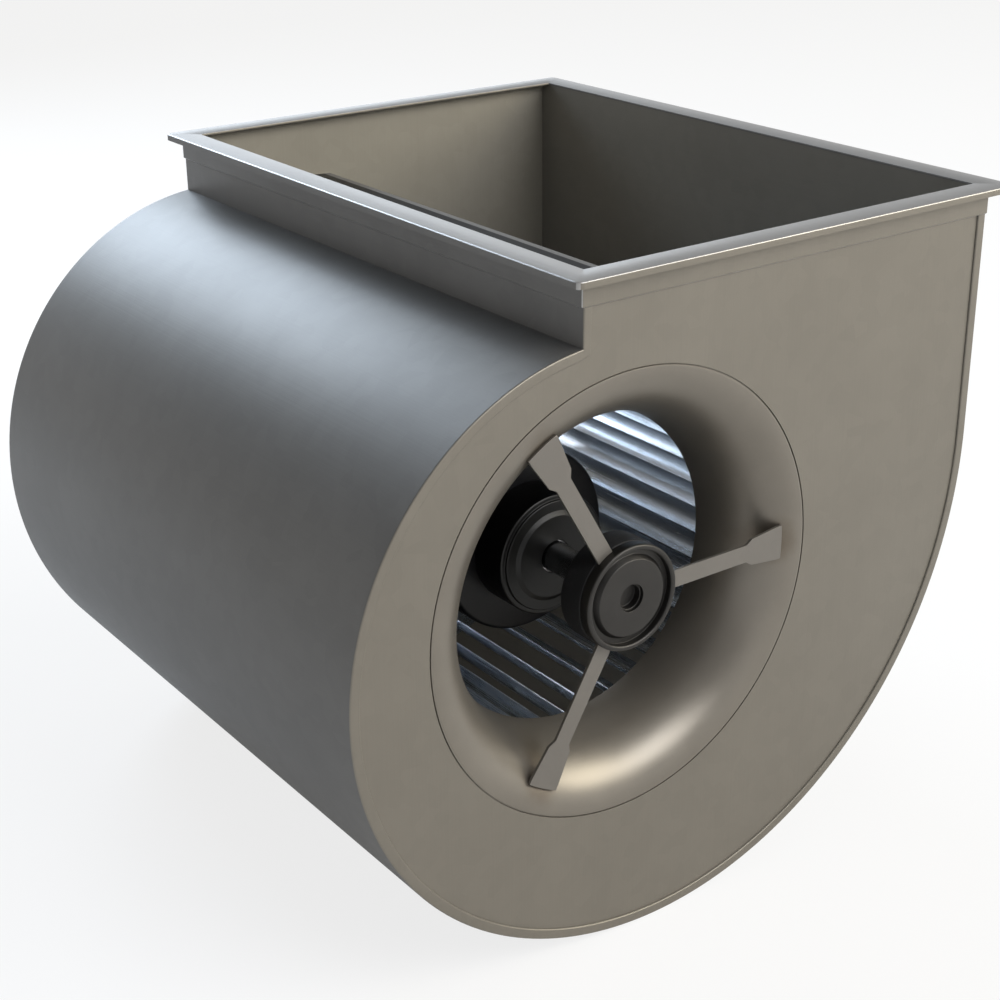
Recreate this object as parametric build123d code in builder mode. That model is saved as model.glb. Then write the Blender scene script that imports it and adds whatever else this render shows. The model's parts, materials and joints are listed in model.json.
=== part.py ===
from build123d import *

import os
from math import atan2, cos, degrees, exp, hypot, radians, sin, sqrt, tan

# Double-inlet centrifugal blower, driven by an external-rotor motor that sits inside its wheel.
# Millimetres. The origin is the centre of the outlet flange's top face, +Z up out of the outlet, and Y runs
# along the axle. A depth is measured from the outer face of the side plate towards the middle of the blower.
# The front is the -Y side. The housing is the same front and back, so the rear pieces are mirrored copies.

# Outlet flange
flange_length = 500.0
flange_width = 370.0
flange_band = 20.0
flange_sheet = 1.5
flange_rim_height = 4.5
flange_corner_radius = 5.0
collar_height = 18.4
collar_clearance = 0.1

# Housing
housing_width = 481.0
plate_sheet = 1.2
wrapper_sheet = 1.2
edge_clearance = 0.05
seam_width = 7.0
seam_clearance = 0.1
left_overhang = 7.8
right_overhang = 0.2
scroll_top_radius = 165.3
scroll_growth = 7.2
scroll_centre_x = -1.2
scroll_centre_z = 2.9
wheel_drop = 211.5
scroll_spans = 10

# Cutoff plate inside the outlet
cutoff_sheet = 1.5
cutoff_drop = 42.2
cutoff_edge_drop = 47.8
cutoff_reach = 127.0
cutoff_curl_radius = 4.0
cutoff_leg_height = 12.0
cutoff_tab_height = 8.0
cutoff_tab_margin = 12.0
cutoff_tab_taper = 12.0

# Inlet bells
bell_rim_radius = 148.0
bell_throat_radius = 106.0
bell_depth = 58.0
bell_sheet = 1.2
bell_groove = 0.8
bell_lap = 8.0
bell_joggle_overlap = 1.2

# Arms
arm_count = 3
arm_sheet = 2.0
arm_depth = 2.5
arm_narrow_width = 12.0
arm_shoulder_width = 18.5
arm_tip_width = 23.5
arm_head_length = 31.5
arm_flare_length = 26.5
arm_pad_length = 4.5
weld_gap = 0.1

# Hub cap, rubber bush and its steel sleeve
hub_radius = 35.3
hub_lip_depth = -3.0
hub_rim_length = 8.0
hub_lip_width = 5.2
hub_groove_width = 4.9
hub_groove_depth = 5.0
hub_face_recess = 1.0
hub_slope = 45.0
hub_sheet = 2.0
hub_edge_radius = 2.2
cap_hole_radius = 9.2
rubber_radius = 35.6
rubber_depth = 25.0
rubber_clearance = 0.1
sleeve_radius = 15.0
sleeve_depth = 27.0

# Axle, with a recess in each end, and the clips in its grooves
axle_radius = 10.0
axle_recess_radius = 8.0
axle_recess_depth = 5.0
axle_shoulder_radius = 12.5
axle_stator_radius = 15.0
stator_seat_margin = 8.0
axle_fit = 0.03
lead_channel_width = 6.0
lead_channel_depth = 4.0
clip_sheet = 1.5
clip_radius = 14.0
clip_groove_depth = 0.6
clip_mouth_width = 6.0

# Bearings, a 20 x 47 x 14 mm deep-groove size
bearing_radius = 23.5
bearing_width = 14.0
bearing_ring_wall = 3.3
ball_radius = 3.9
ball_count = 8
ball_clearance = 0.1

# Bearing housings, the stepped round ends of the motor
dish_radius = 41.5
dish_depth = 78.0
dish_rim_width = 3.5
dish_edge_radius = 1.5
dish_step_height = 1.8
dish_step_edge_radius = 0.8
dish_boss_height = 1.8
dish_boss_foot_radius = 31.0
dish_boss_radius = 28.0
dish_wall = 4.0
dish_pocket_overrun = 1.5
dish_bore_clearance = 1.0

# Rotor, which turns with the wheel, and stator, which stays on the axle
rotor_radius = 63.0
rotor_depth = 106.0
rotor_wall = 3.0
rotor_edge_radius = 2.5
end_cap_sheet = 3.0
end_cap_spigot_length = 8.0
rotor_fit = 0.05
cage_length = 150.0
cage_wall = 8.0
stator_length = 140.0
air_gap = 0.6
stator_slot_count = 18
stator_slot_depth = 18.0
stator_slot_width = 9.0
stator_slot_mouth = 3.0
stator_tip_depth = 3.0
winding_length = 22.0
winding_inner_radius = 26.0
winding_outer_radius = 46.0
winding_edge_radius = 6.0

# Blade wheel
blade_count = 40
blade_outer_radius = 139.8
blade_reach = 23.8
blade_lean = 7.0
blade_sheet = 1.0
blade_phase = 2.7
wheel_gap = 4.0
disc_sheet = 2.0
disc_margin = 1.0
wheel_hub_wall = 4.0
wheel_hub_length = 24.0
wheel_hub_flange_radius = 82.0
wheel_hub_flange_sheet = 4.0
rivet_count = 8
rivet_circle_radius = 74.0
rivet_radius = 3.0
rivet_head_radius = 5.5
rivet_head_height = 2.0
rivet_clearance = 0.1
ring_sheet = 1.5
ring_reach = 12.8
ring_band_width = 9.0
ring_band_clearance = 0.6

# Places that follow from the sizes above
housing_half = housing_width / 2
opening_half_width = flange_width / 2 - flange_band
neck_left = -(opening_half_width + left_overhang + wrapper_sheet)
neck_right = opening_half_width + right_overhang + wrapper_sheet
neck_top = -flange_sheet
scroll_end_angle = 360.0 + scroll_growth


def scroll_radius(angle):
    """Outer radius of the spiral round its own centre, at an angle from +X towards +Z in the front view."""
    return scroll_top_radius * exp(tan(radians(scroll_growth)) * radians(angle - 90.0))


scroll_half_width = scroll_radius(scroll_end_angle) * cos(radians(scroll_growth))
wheel_x = neck_right - scroll_half_width - scroll_centre_x
wheel_z = -wheel_drop
axle_line = Axis((wheel_x, 0, wheel_z), (0, 1, 0))
wheel_end_depth = bell_depth + wheel_gap
blade_inner_radius = blade_outer_radius - blade_reach
ring_inner_radius = blade_outer_radius - ring_reach
band_inner_radius = blade_outer_radius + ring_band_clearance
wheel_radius = band_inner_radius + ring_sheet


def side_view(depth):
    """Plane across the axle, seen from the front and centred on the axle, at a depth in the front half."""
    return Plane(
        origin=(wheel_x, depth - housing_half, wheel_z), x_dir=(1, 0, 0), z_dir=(0, -1, 0)
    )


# Plane of the sections that are revolved: X is the radius from the axle and Y is the depth
section_plane = Plane(origin=(wheel_x, -housing_half, wheel_z))


def ring_section(inner, outer, start, end, mode=Mode.ADD):
    """Rectangle between two radii and two depths, drawn into the open section sketch."""
    with Locations(((inner + outer) / 2, (start + end) / 2)):
        Rectangle(outer - inner, end - start, mode=mode)


def scroll_point(angle, inset):
    """Point of the spiral, moved in square to it, on a side view centred on the axle."""
    radius = scroll_radius(angle)
    square = radians(angle - scroll_growth)
    return (
        scroll_centre_x + radius * cos(radians(angle)) - inset * cos(square),
        scroll_centre_z + radius * sin(radians(angle)) - inset * sin(square),
    )


def housing_outline(inset, mode=Mode.ADD):
    """Outline of the housing, spiral and neck, inset from the outside, drawn into the open side view."""
    step = (scroll_end_angle - 90.0) / scroll_spans
    points = [scroll_point(90.0 + step * i, inset) for i in range(scroll_spans + 1)]
    right = neck_right - wheel_x - inset
    left = neck_left - wheel_x + inset
    start_direction = (-cos(radians(scroll_growth)), sin(radians(scroll_growth)))
    with BuildLine() as spiral:
        Spline(*points, tangents=(start_direction, (0, 1)), tangent_scalars=(1, 1))
        Polyline(points[-1], (0, points[-1][1]), points[0])
    make_face(spiral.edges(), mode=mode)
    with Locations((left, neck_top - wheel_z)):
        Rectangle(
            right - left,
            neck_top - wheel_z - points[-1][1],
            align=(Align.MIN, Align.MAX),
            mode=mode,
        )


def save(builder, label):
    """Labels a finished piece and writes it."""
    builder.part.label = label
    export_step(builder.part, f"parts/{label}.step")


def save_rear(front, label):
    """Writes the rear piece that mirrors a front one."""
    with BuildPart() as rear:
        mirror(front.part, about=Plane.XZ)
    save(rear, label)


os.makedirs("parts", exist_ok=True)

# Side plates, with the round hole that the bell fills
with BuildPart() as side_plate_front:
    with BuildSketch(side_view(plate_sheet)):
        housing_outline(wrapper_sheet + edge_clearance)
        Circle(bell_rim_radius + bell_groove, mode=Mode.SUBTRACT)
    extrude(amount=plate_sheet)

# Scroll wrapper: one sheet round the spiral and up both sides of the neck, its edges folded over the side
# plates below the flange's collar
seam_face = housing_half + seam_clearance
with BuildPart() as scroll_wrapper:
    with BuildSketch(side_view(housing_half)):
        housing_outline(0)
        housing_outline(wrapper_sheet, mode=Mode.SUBTRACT)
    extrude(amount=seam_face + wrapper_sheet, both=True)
    with BuildSketch(side_view(housing_half)):
        housing_outline(0)
        housing_outline(seam_width, mode=Mode.SUBTRACT)
    extrude(amount=seam_face + wrapper_sheet, both=True)
    with BuildSketch(side_view(housing_half)):
        housing_outline(wrapper_sheet)
    extrude(amount=seam_face, both=True, mode=Mode.SUBTRACT)
    with BuildSketch(Plane.XY.offset(neck_top)):
        with Locations(((neck_left + neck_right) / 2, 0)):
            Rectangle(flange_width, flange_length)
            Rectangle(neck_right - neck_left, housing_width - edge_clearance, mode=Mode.SUBTRACT)
    extrude(amount=neck_top + collar_height, dir=(0, 0, -1), mode=Mode.SUBTRACT)

# Cutoff plate: welded to the neck wall and both side plates, with a rolled free edge
cutoff_left = neck_left + wrapper_sheet - wheel_x
cutoff_edge = cutoff_left + cutoff_reach
curl_x = cutoff_edge - cutoff_curl_radius
cutoff_start_z = wheel_drop - cutoff_drop
cutoff_end_z = wheel_drop - cutoff_edge_drop
cutoff_half_length = housing_half - plate_sheet
with BuildPart() as cutoff_plate:
    with BuildSketch(side_view(housing_half)):
        with Locations((curl_x, cutoff_end_z - cutoff_curl_radius)):
            Circle(cutoff_curl_radius)
            Circle(cutoff_curl_radius - cutoff_sheet, mode=Mode.SUBTRACT)
            Rectangle(
                cutoff_curl_radius,
                cutoff_curl_radius,
                align=(Align.MAX, Align.MIN),
                mode=Mode.SUBTRACT,
            )
        with BuildLine():
            Polyline(
                (cutoff_left, cutoff_start_z),
                (curl_x, cutoff_end_z),
                (curl_x, cutoff_end_z - cutoff_sheet),
                (cutoff_left, cutoff_start_z - cutoff_sheet),
                close=True,
            )
        make_face()
        with Locations((cutoff_left, cutoff_start_z - cutoff_sheet)):
            Rectangle(cutoff_sheet, cutoff_leg_height, align=(Align.MIN, Align.MIN))
    extrude(amount=cutoff_half_length, both=True)
    for tab_depth in (plate_sheet, housing_width - 2 * plate_sheet):
        with BuildSketch(side_view(tab_depth)):
            with BuildLine():
                Polyline(
                    (cutoff_left + cutoff_tab_margin, cutoff_start_z - cutoff_sheet),
                    (curl_x - cutoff_tab_margin, cutoff_end_z - cutoff_sheet),
                    (curl_x - cutoff_tab_margin - cutoff_tab_taper, cutoff_end_z - cutoff_tab_height),
                    (cutoff_left + cutoff_tab_margin + cutoff_tab_taper, cutoff_start_z - cutoff_tab_height),
                    close=True,
                )
            make_face()
        extrude(amount=-plate_sheet)

# Outlet flange: a flat band with a turned-down rim, and a collar that laps the outside of the neck
collar_low_x = neck_left - collar_clearance
collar_high_x = neck_right + collar_clearance
collar_inner_length = housing_width + 2 * collar_clearance
with BuildPart() as outlet_flange:
    with BuildSketch():
        RectangleRounded(flange_width, flange_length, flange_corner_radius)
    extrude(amount=-flange_rim_height)
    with BuildSketch(Plane.XY.offset(-flange_sheet)):
        RectangleRounded(
            flange_width - 2 * flange_sheet,
            flange_length - 2 * flange_sheet,
            flange_corner_radius - flange_sheet,
        )
    extrude(amount=-flange_rim_height, mode=Mode.SUBTRACT)
    with BuildSketch(Plane.XY.offset(-collar_height)):
        with Locations(((collar_low_x + collar_high_x) / 2, 0)):
            Rectangle(
                collar_high_x - collar_low_x + 2 * flange_sheet,
                collar_inner_length + 2 * flange_sheet,
            )
            Rectangle(collar_high_x - collar_low_x, collar_inner_length, mode=Mode.SUBTRACT)
    extrude(amount=collar_height - flange_sheet)
    with BuildSketch():
        Rectangle(2 * opening_half_width, flange_length - 2 * flange_band)
    extrude(amount=-flange_rim_height, mode=Mode.SUBTRACT)

# Inlet bells: an elliptical curve from the plate's face in to the throat, and a flat lap behind the plate
bell_reach = bell_rim_radius - bell_throat_radius
bell_centre = (bell_rim_radius, bell_depth)
lap_depth = plate_sheet + edge_clearance
with BuildPart() as inlet_bell_front:
    with BuildSketch(section_plane):
        with BuildLine():
            front_curve = EllipticalCenterArc(bell_centre, bell_reach, bell_depth, 180)
            back_curve = EllipticalCenterArc(
                bell_centre, bell_reach - bell_sheet, bell_depth - bell_sheet, 180
            )
            Line(front_curve @ 0, back_curve @ 0)
            Line(front_curve @ 1, back_curve @ 1)
        make_face()
        ring_section(
            bell_rim_radius - bell_joggle_overlap, bell_rim_radius, bell_sheet / 2, lap_depth + bell_sheet
        )
        ring_section(
            bell_rim_radius - bell_joggle_overlap,
            bell_rim_radius + bell_lap,
            lap_depth,
            lap_depth + bell_sheet,
        )
    revolve(axis=axle_line)

# Arms: flat strips from the hub's rim to the bell, flared at the outer end
arm_back_depth = arm_depth + arm_sheet
seat_depth = arm_back_depth + weld_gap
seat_drop = bell_depth - seat_depth
arm_reach = bell_rim_radius - bell_reach * sqrt(1 - (seat_drop / bell_depth) ** 2) - weld_gap
arm_tip_x = sqrt(arm_reach**2 - (arm_tip_width / 2) ** 2)
arm_pad_start = arm_reach - arm_pad_length
arm_flare_start = arm_reach - arm_flare_length
arm_head_start = arm_reach - arm_head_length


def arm_plane(turn):
    """Plane of an arm's back face, with X along the arm."""
    return Plane(
        origin=(wheel_x, arm_back_depth - housing_half, wheel_z),
        x_dir=(cos(radians(turn)), 0, sin(radians(turn))),
        z_dir=(0, -1, 0),
    )


arms = []
for arm in range(arm_count):
    with BuildPart() as arm_front:
        with BuildSketch(arm_plane(arm * 360 / arm_count)):
            with BuildLine():
                upper_side = Polyline(
                    (0, arm_narrow_width / 2),
                    (arm_head_start, arm_narrow_width / 2),
                    (arm_flare_start, arm_shoulder_width / 2),
                    (arm_pad_start, arm_tip_width / 2),
                    (arm_tip_x, arm_tip_width / 2),
                )
                lower_side = mirror(upper_side, about=Plane.XZ)
                ThreePointArc(upper_side @ 1, (arm_reach, 0), lower_side @ 1)
                Line(upper_side @ 0, lower_side @ 0)
            make_face()
            Circle(hub_radius + weld_gap, mode=Mode.SUBTRACT)
        extrude(amount=arm_sheet)
    arms.append(arm_front)

# Hub cap: a pressed cap with a rounded lip, a groove inside it and a slope up to the flat face
lip_inner_radius = hub_radius - hub_lip_width
slope_foot_radius = lip_inner_radius - hub_groove_width
rim_back = hub_lip_depth + hub_rim_length
groove_floor = hub_lip_depth + hub_groove_depth
groove_floor_back = groove_floor + hub_sheet
cap_face = hub_lip_depth + hub_face_recess
cap_face_back = cap_face + hub_sheet
face_radius = slope_foot_radius - (groove_floor - cap_face) / tan(radians(hub_slope))
bend_step = hub_sheet * tan(radians(hub_slope) / 2)
with BuildPart() as hub_cap_front:
    with BuildSketch(section_plane) as cap_section:
        ring_section(lip_inner_radius, hub_radius, hub_lip_depth, rim_back)
        fillet(cap_section.vertices().group_by(Axis.Y)[0], hub_edge_radius)
        ring_section(slope_foot_radius - bend_step, hub_radius, groove_floor, groove_floor_back)
        ring_section(cap_hole_radius, face_radius, cap_face, cap_face_back)
        with BuildLine():
            Polyline(
                (face_radius, cap_face),
                (slope_foot_radius, groove_floor),
                (slope_foot_radius - bend_step, groove_floor_back),
                (face_radius - bend_step, cap_face_back),
                close=True,
            )
        make_face()
        ring_section(0, hub_radius - hub_sheet, groove_floor_back, rim_back, mode=Mode.SUBTRACT)
    revolve(axis=axle_line)

# Rubber bush that fills the cap from behind, moulded round a steel sleeve
rubber_bore = sleeve_radius + rubber_clearance
bush_front = cap_face_back + rubber_clearance
with BuildPart() as rubber_bush_front:
    with BuildSketch(section_plane):
        for outer_radius, start in (
            (face_radius - bend_step - rubber_clearance, bush_front),
            (hub_radius - hub_sheet - rubber_clearance, groove_floor_back + rubber_clearance),
            (rubber_radius, rim_back + rubber_clearance),
        ):
            ring_section(rubber_bore, outer_radius, start, rubber_depth)
    revolve(axis=axle_line)
with BuildPart() as bush_sleeve_front:
    with BuildSketch(section_plane):
        ring_section(axle_radius + axle_fit, sleeve_radius, bush_front, sleeve_depth)
    revolve(axis=axle_line)

# Axle: turned steel, thicker in the middle where the stator sits, with a recess in each end, a groove for
# each clip and a channel for the motor's leads from the rear end to the windings
clip_depth = sleeve_depth + axle_fit
clip_groove_radius = axle_radius - clip_groove_depth
dish_step_start = dish_depth - dish_step_height
dish_face_start = dish_step_start - dish_boss_height
bearing_depth = dish_face_start + dish_wall
bearing_inner_depth = bearing_depth + bearing_width
stator_seat_half = stator_length / 2 + stator_seat_margin
with BuildPart() as axle:
    with BuildSketch(section_plane) as axle_section:
        ring_section(0, axle_radius, bush_front, housing_half)
        ring_section(0, axle_shoulder_radius, bearing_inner_depth + axle_fit, housing_half)
        ring_section(0, axle_stator_radius, housing_half - stator_seat_half, housing_half)
        ring_section(0, axle_recess_radius, bush_front, bush_front + axle_recess_depth, mode=Mode.SUBTRACT)
        ring_section(
            clip_groove_radius,
            axle_radius,
            clip_depth,
            clip_depth + clip_sheet + 2 * axle_fit,
            mode=Mode.SUBTRACT,
        )
    revolve(axis=axle_line)
    mirror(about=Plane.XZ)
    with BuildSketch(side_view(housing_width - bush_front)):
        with Locations((0, axle_radius)):
            Rectangle(lead_channel_width, 2 * lead_channel_depth)
    extrude(amount=housing_half - bush_front - stator_length / 2, mode=Mode.SUBTRACT)

# Clips: open spring rings in the axle's grooves, behind the sleeves
with BuildPart() as axle_clips:
    with BuildSketch(side_view(clip_depth + axle_fit + clip_sheet)):
        Circle(clip_radius)
        Circle(clip_groove_radius + axle_fit, mode=Mode.SUBTRACT)
        with Locations((0, -clip_radius)):
            Rectangle(clip_mouth_width, 2 * clip_radius, mode=Mode.SUBTRACT)
    extrude(amount=clip_sheet)
    mirror(about=Plane.XZ)

# Ball bearings: the inner ring stays on the axle, the outer ring turns in the bearing housing
ball_circle_radius = (axle_radius + axle_fit + bearing_radius) / 2
race_radius = ball_radius + ball_clearance
race_centre = (ball_circle_radius, bearing_depth + bearing_width / 2)
inner_ring_radius = axle_radius + axle_fit + bearing_ring_wall
outer_ring_radius = bearing_radius - bearing_ring_wall
with BuildPart() as bearing_inner_ring_front:
    with BuildSketch(section_plane):
        ring_section(axle_radius + axle_fit, inner_ring_radius, bearing_depth, bearing_inner_depth)
        with Locations(race_centre):
            Circle(race_radius, mode=Mode.SUBTRACT)
    revolve(axis=axle_line)
with BuildPart() as bearing_outer_ring_front:
    with BuildSketch(section_plane):
        ring_section(outer_ring_radius, bearing_radius, bearing_depth, bearing_inner_depth)
        with Locations(race_centre):
            Circle(race_radius, mode=Mode.SUBTRACT)
    revolve(axis=axle_line)
with BuildPart() as bearing_balls_front:
    with Locations(side_view(race_centre[1])):
        with PolarLocations(ball_circle_radius, ball_count):
            Sphere(ball_radius)

# Bearing housings: stepped round castings, with a rim, a step and a boss that slopes up to its face
rim_inner_radius = dish_radius - dish_rim_width
dish_back = dish_depth + dish_wall
pocket_radius = bearing_radius + rotor_fit
with BuildPart() as bearing_housing_front:
    with BuildSketch(section_plane) as dish_section:
        ring_section(rim_inner_radius, dish_radius, dish_depth, rotor_depth)
        fillet(dish_section.vertices().group_by(Axis.Y)[0].sort_by(Axis.X)[-1], dish_edge_radius)
        ring_section(dish_boss_radius, rim_inner_radius, dish_step_start, dish_back)
        step_corner = dish_section.vertices().group_by(Axis.Y)[0].sort_by(Axis.X)[-1]
        fillet(step_corner, dish_step_edge_radius)
        ring_section(axle_radius + dish_bore_clearance, dish_boss_radius, dish_face_start, bearing_depth)
        with BuildLine():
            Polyline(
                (dish_boss_radius, dish_face_start),
                (dish_boss_foot_radius, dish_step_start),
                (dish_boss_radius, dish_step_start),
                close=True,
            )
        make_face()
        ring_section(pocket_radius, dish_boss_radius, bearing_depth, dish_back)
        ring_section(
            pocket_radius,
            pocket_radius + dish_wall,
            bearing_depth,
            bearing_inner_depth + dish_pocket_overrun,
        )
    revolve(axis=axle_line)

# Rotor end caps and shell: the black body of the motor
shell_depth = rotor_depth + end_cap_sheet
shell_inner_radius = rotor_radius - rotor_wall
with BuildPart() as rotor_end_cap_front:
    with BuildSketch(section_plane) as end_cap_section:
        ring_section(rim_inner_radius, rotor_radius, rotor_depth, shell_depth)
        outer_corner = end_cap_section.vertices().group_by(Axis.Y)[0].sort_by(Axis.X)[-1]
        fillet(outer_corner, rotor_edge_radius)
        ring_section(
            shell_inner_radius - rotor_fit - rotor_wall,
            shell_inner_radius - rotor_fit,
            rotor_depth,
            shell_depth + end_cap_spigot_length,
        )
    revolve(axis=axle_line)
with BuildPart() as rotor_shell:
    with BuildSketch(section_plane):
        ring_section(shell_inner_radius, rotor_radius, shell_depth, housing_width - shell_depth)
    revolve(axis=axle_line)

# Rotor cage in the shell, stator core on the axle and the end turns of its windings
cage_outer_radius = shell_inner_radius - rotor_fit
cage_inner_radius = cage_outer_radius - cage_wall
stator_radius = cage_inner_radius - air_gap
with BuildPart() as rotor_cage:
    with BuildSketch(section_plane):
        ring_section(
            cage_inner_radius,
            cage_outer_radius,
            housing_half - cage_length / 2,
            housing_half + cage_length / 2,
        )
    revolve(axis=axle_line)
with BuildPart() as stator_core:
    with BuildSketch(side_view(housing_half)):
        Circle(stator_radius)
        Circle(axle_stator_radius + axle_fit, mode=Mode.SUBTRACT)
        with PolarLocations(stator_radius, stator_slot_count):
            Rectangle(2 * stator_slot_depth, stator_slot_mouth, mode=Mode.SUBTRACT)
            with Locations((-stator_tip_depth, 0)):
                Rectangle(
                    stator_slot_depth, stator_slot_width, align=(Align.MAX, Align.CENTER), mode=Mode.SUBTRACT
                )
    extrude(amount=stator_length / 2, both=True)
with BuildPart() as stator_windings:
    with BuildSketch(section_plane) as winding_section:
        ring_section(
            winding_inner_radius,
            winding_outer_radius,
            housing_half - stator_length / 2 - winding_length,
            housing_half - stator_length / 2,
        )
        fillet(winding_section.vertices().group_by(Axis.Y)[0], winding_edge_radius)
    revolve(axis=axle_line)
    mirror(about=Plane.XZ)

# Wheel hub on the rotor shell, and the wheel's centre disc, riveted to the hub's flange
wheel_hub_inner = rotor_radius + rotor_fit
wheel_hub_outer = wheel_hub_inner + wheel_hub_wall
hub_flange_start = housing_half + disc_sheet / 2
with BuildPart() as wheel_hub:
    with BuildSketch(section_plane):
        ring_section(
            wheel_hub_inner,
            wheel_hub_outer,
            housing_half - wheel_hub_length / 2,
            housing_half + wheel_hub_length / 2,
        )
        ring_section(
            wheel_hub_inner,
            wheel_hub_flange_radius,
            hub_flange_start,
            hub_flange_start + wheel_hub_flange_sheet,
        )
    revolve(axis=axle_line)
    with BuildSketch(side_view(hub_flange_start)):
        with PolarLocations(rivet_circle_radius, rivet_count):
            Circle(rivet_radius + rivet_clearance)
    extrude(amount=-wheel_hub_flange_sheet, mode=Mode.SUBTRACT)
with BuildPart() as wheel_disc:
    with BuildSketch(side_view(housing_half)):
        Circle(blade_outer_radius + disc_margin)
        Circle(wheel_hub_outer + rivet_clearance, mode=Mode.SUBTRACT)
        with PolarLocations(rivet_circle_radius, rivet_count):
            Circle(rivet_radius + rivet_clearance, mode=Mode.SUBTRACT)
    extrude(amount=disc_sheet / 2, both=True)
rivet_start = housing_half - disc_sheet / 2
rivet_end = hub_flange_start + wheel_hub_flange_sheet
with BuildPart() as hub_rivets:
    for head_start, radius, length in (
        (rivet_start, rivet_head_radius, rivet_head_height),
        (rivet_end + rivet_head_height, rivet_head_radius, rivet_head_height),
        (rivet_end, rivet_radius, rivet_end - rivet_start),
    ):
        with BuildSketch(side_view(head_start)):
            with PolarLocations(rivet_circle_radius, rivet_count):
                Circle(radius)
        extrude(amount=length)

# Blades: forward-curved strips that start radial at the inner edge and lean into the turn at the outer one
tip_x = blade_outer_radius * cos(radians(blade_lean))
tip_y = blade_outer_radius * sin(radians(blade_lean))
blade_chord = hypot(tip_x - blade_inner_radius, tip_y)
blade_curve_radius = blade_chord**2 / (2 * tip_y)
blade_sweep = 2 * degrees(atan2(tip_y, tip_x - blade_inner_radius))
blade_centre = (blade_inner_radius, blade_curve_radius)
blade_start_depth = wheel_end_depth + ring_sheet
with BuildSketch() as blade_section:
    with BuildLine():
        outer_side = CenterArc(blade_centre, blade_curve_radius + blade_sheet / 2, -90, blade_sweep)
        inner_side = CenterArc(blade_centre, blade_curve_radius - blade_sheet / 2, -90, blade_sweep)
        Line(outer_side @ 0, inner_side @ 0)
        Line(outer_side @ 1, inner_side @ 1)
    make_face()
with BuildPart() as blades_front:
    with BuildSketch(side_view(housing_half - disc_sheet / 2)):
        with PolarLocations(0, blade_count, start_angle=blade_phase):
            add(blade_section.sketch)
    extrude(amount=housing_half - disc_sheet / 2 - blade_start_depth)

# End rings: a flat ring over the blades' outer ends, with a band turned round them
with BuildPart() as wheel_ring_front:
    with BuildSketch(section_plane):
        ring_section(ring_inner_radius, wheel_radius, wheel_end_depth, blade_start_depth)
        ring_section(
            band_inner_radius, wheel_radius, wheel_end_depth, wheel_end_depth + ring_band_width
        )
    revolve(axis=axle_line)

save(scroll_wrapper, "scroll_wrapper")
save(cutoff_plate, "cutoff_plate")
save(outlet_flange, "outlet_flange")
save(axle, "axle")
save(axle_clips, "axle_clips")
save(rotor_shell, "rotor_shell")
save(rotor_cage, "rotor_cage")
save(stator_core, "stator_core")
save(stator_windings, "stator_windings")
save(wheel_hub, "wheel_hub")
save(wheel_disc, "wheel_disc")
save(hub_rivets, "hub_rivets")
mirrored_pieces = {
    "side_plate": side_plate_front,
    "inlet_bell": inlet_bell_front,
    "hub_cap": hub_cap_front,
    "rubber_bush": rubber_bush_front,
    "bush_sleeve": bush_sleeve_front,
    "bearing_inner_ring": bearing_inner_ring_front,
    "bearing_outer_ring": bearing_outer_ring_front,
    "bearing_balls": bearing_balls_front,
    "bearing_housing": bearing_housing_front,
    "rotor_end_cap": rotor_end_cap_front,
    "blades": blades_front,
    "wheel_ring": wheel_ring_front,
}
for name, front_piece in mirrored_pieces.items():
    save(front_piece, f"{name}_front")
    save_rear(front_piece, f"{name}_rear")
for number, front_piece in enumerate(arms, start=1):
    save(front_piece, f"arm_front_{number}")
    save_rear(front_piece, f"arm_rear_{number}")
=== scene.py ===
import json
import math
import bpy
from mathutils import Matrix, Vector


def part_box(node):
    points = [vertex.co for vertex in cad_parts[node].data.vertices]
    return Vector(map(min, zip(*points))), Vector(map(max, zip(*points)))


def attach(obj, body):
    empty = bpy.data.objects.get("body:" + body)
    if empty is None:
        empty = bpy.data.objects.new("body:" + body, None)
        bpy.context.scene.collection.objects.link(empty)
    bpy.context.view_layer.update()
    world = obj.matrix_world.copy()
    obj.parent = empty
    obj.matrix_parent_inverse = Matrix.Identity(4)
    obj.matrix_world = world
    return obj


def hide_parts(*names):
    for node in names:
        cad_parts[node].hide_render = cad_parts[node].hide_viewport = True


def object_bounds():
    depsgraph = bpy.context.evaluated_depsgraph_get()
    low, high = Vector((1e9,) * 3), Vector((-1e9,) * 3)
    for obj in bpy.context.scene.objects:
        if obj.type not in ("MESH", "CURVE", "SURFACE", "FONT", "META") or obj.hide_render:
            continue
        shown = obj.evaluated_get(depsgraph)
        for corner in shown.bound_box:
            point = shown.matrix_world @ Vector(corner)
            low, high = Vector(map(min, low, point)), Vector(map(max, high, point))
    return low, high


bl_info = {
    "name": "Double-inlet blower",
    "version": (1, 0, 0),
    "blender": (4, 5, 0),
    "location": "3D View > Sidebar > Blower",
    "description": "Sheet metal, blade wheel, motor and finishes of a double-inlet centrifugal blower",
    "category": "Add Mesh",
}

import bmesh
import bpy
from bpy.props import FloatProperty, FloatVectorProperty, IntProperty, PointerProperty
from mathutils import Matrix, Vector

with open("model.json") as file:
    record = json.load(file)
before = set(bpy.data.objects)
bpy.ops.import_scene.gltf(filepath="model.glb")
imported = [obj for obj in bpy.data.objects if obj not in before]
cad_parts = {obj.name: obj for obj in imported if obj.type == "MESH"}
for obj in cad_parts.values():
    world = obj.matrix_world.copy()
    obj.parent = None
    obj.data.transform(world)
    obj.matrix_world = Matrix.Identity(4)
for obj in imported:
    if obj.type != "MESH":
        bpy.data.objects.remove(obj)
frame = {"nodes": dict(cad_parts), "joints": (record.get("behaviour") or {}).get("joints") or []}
CAD_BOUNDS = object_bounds()
NODES = frame["nodes"]

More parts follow.
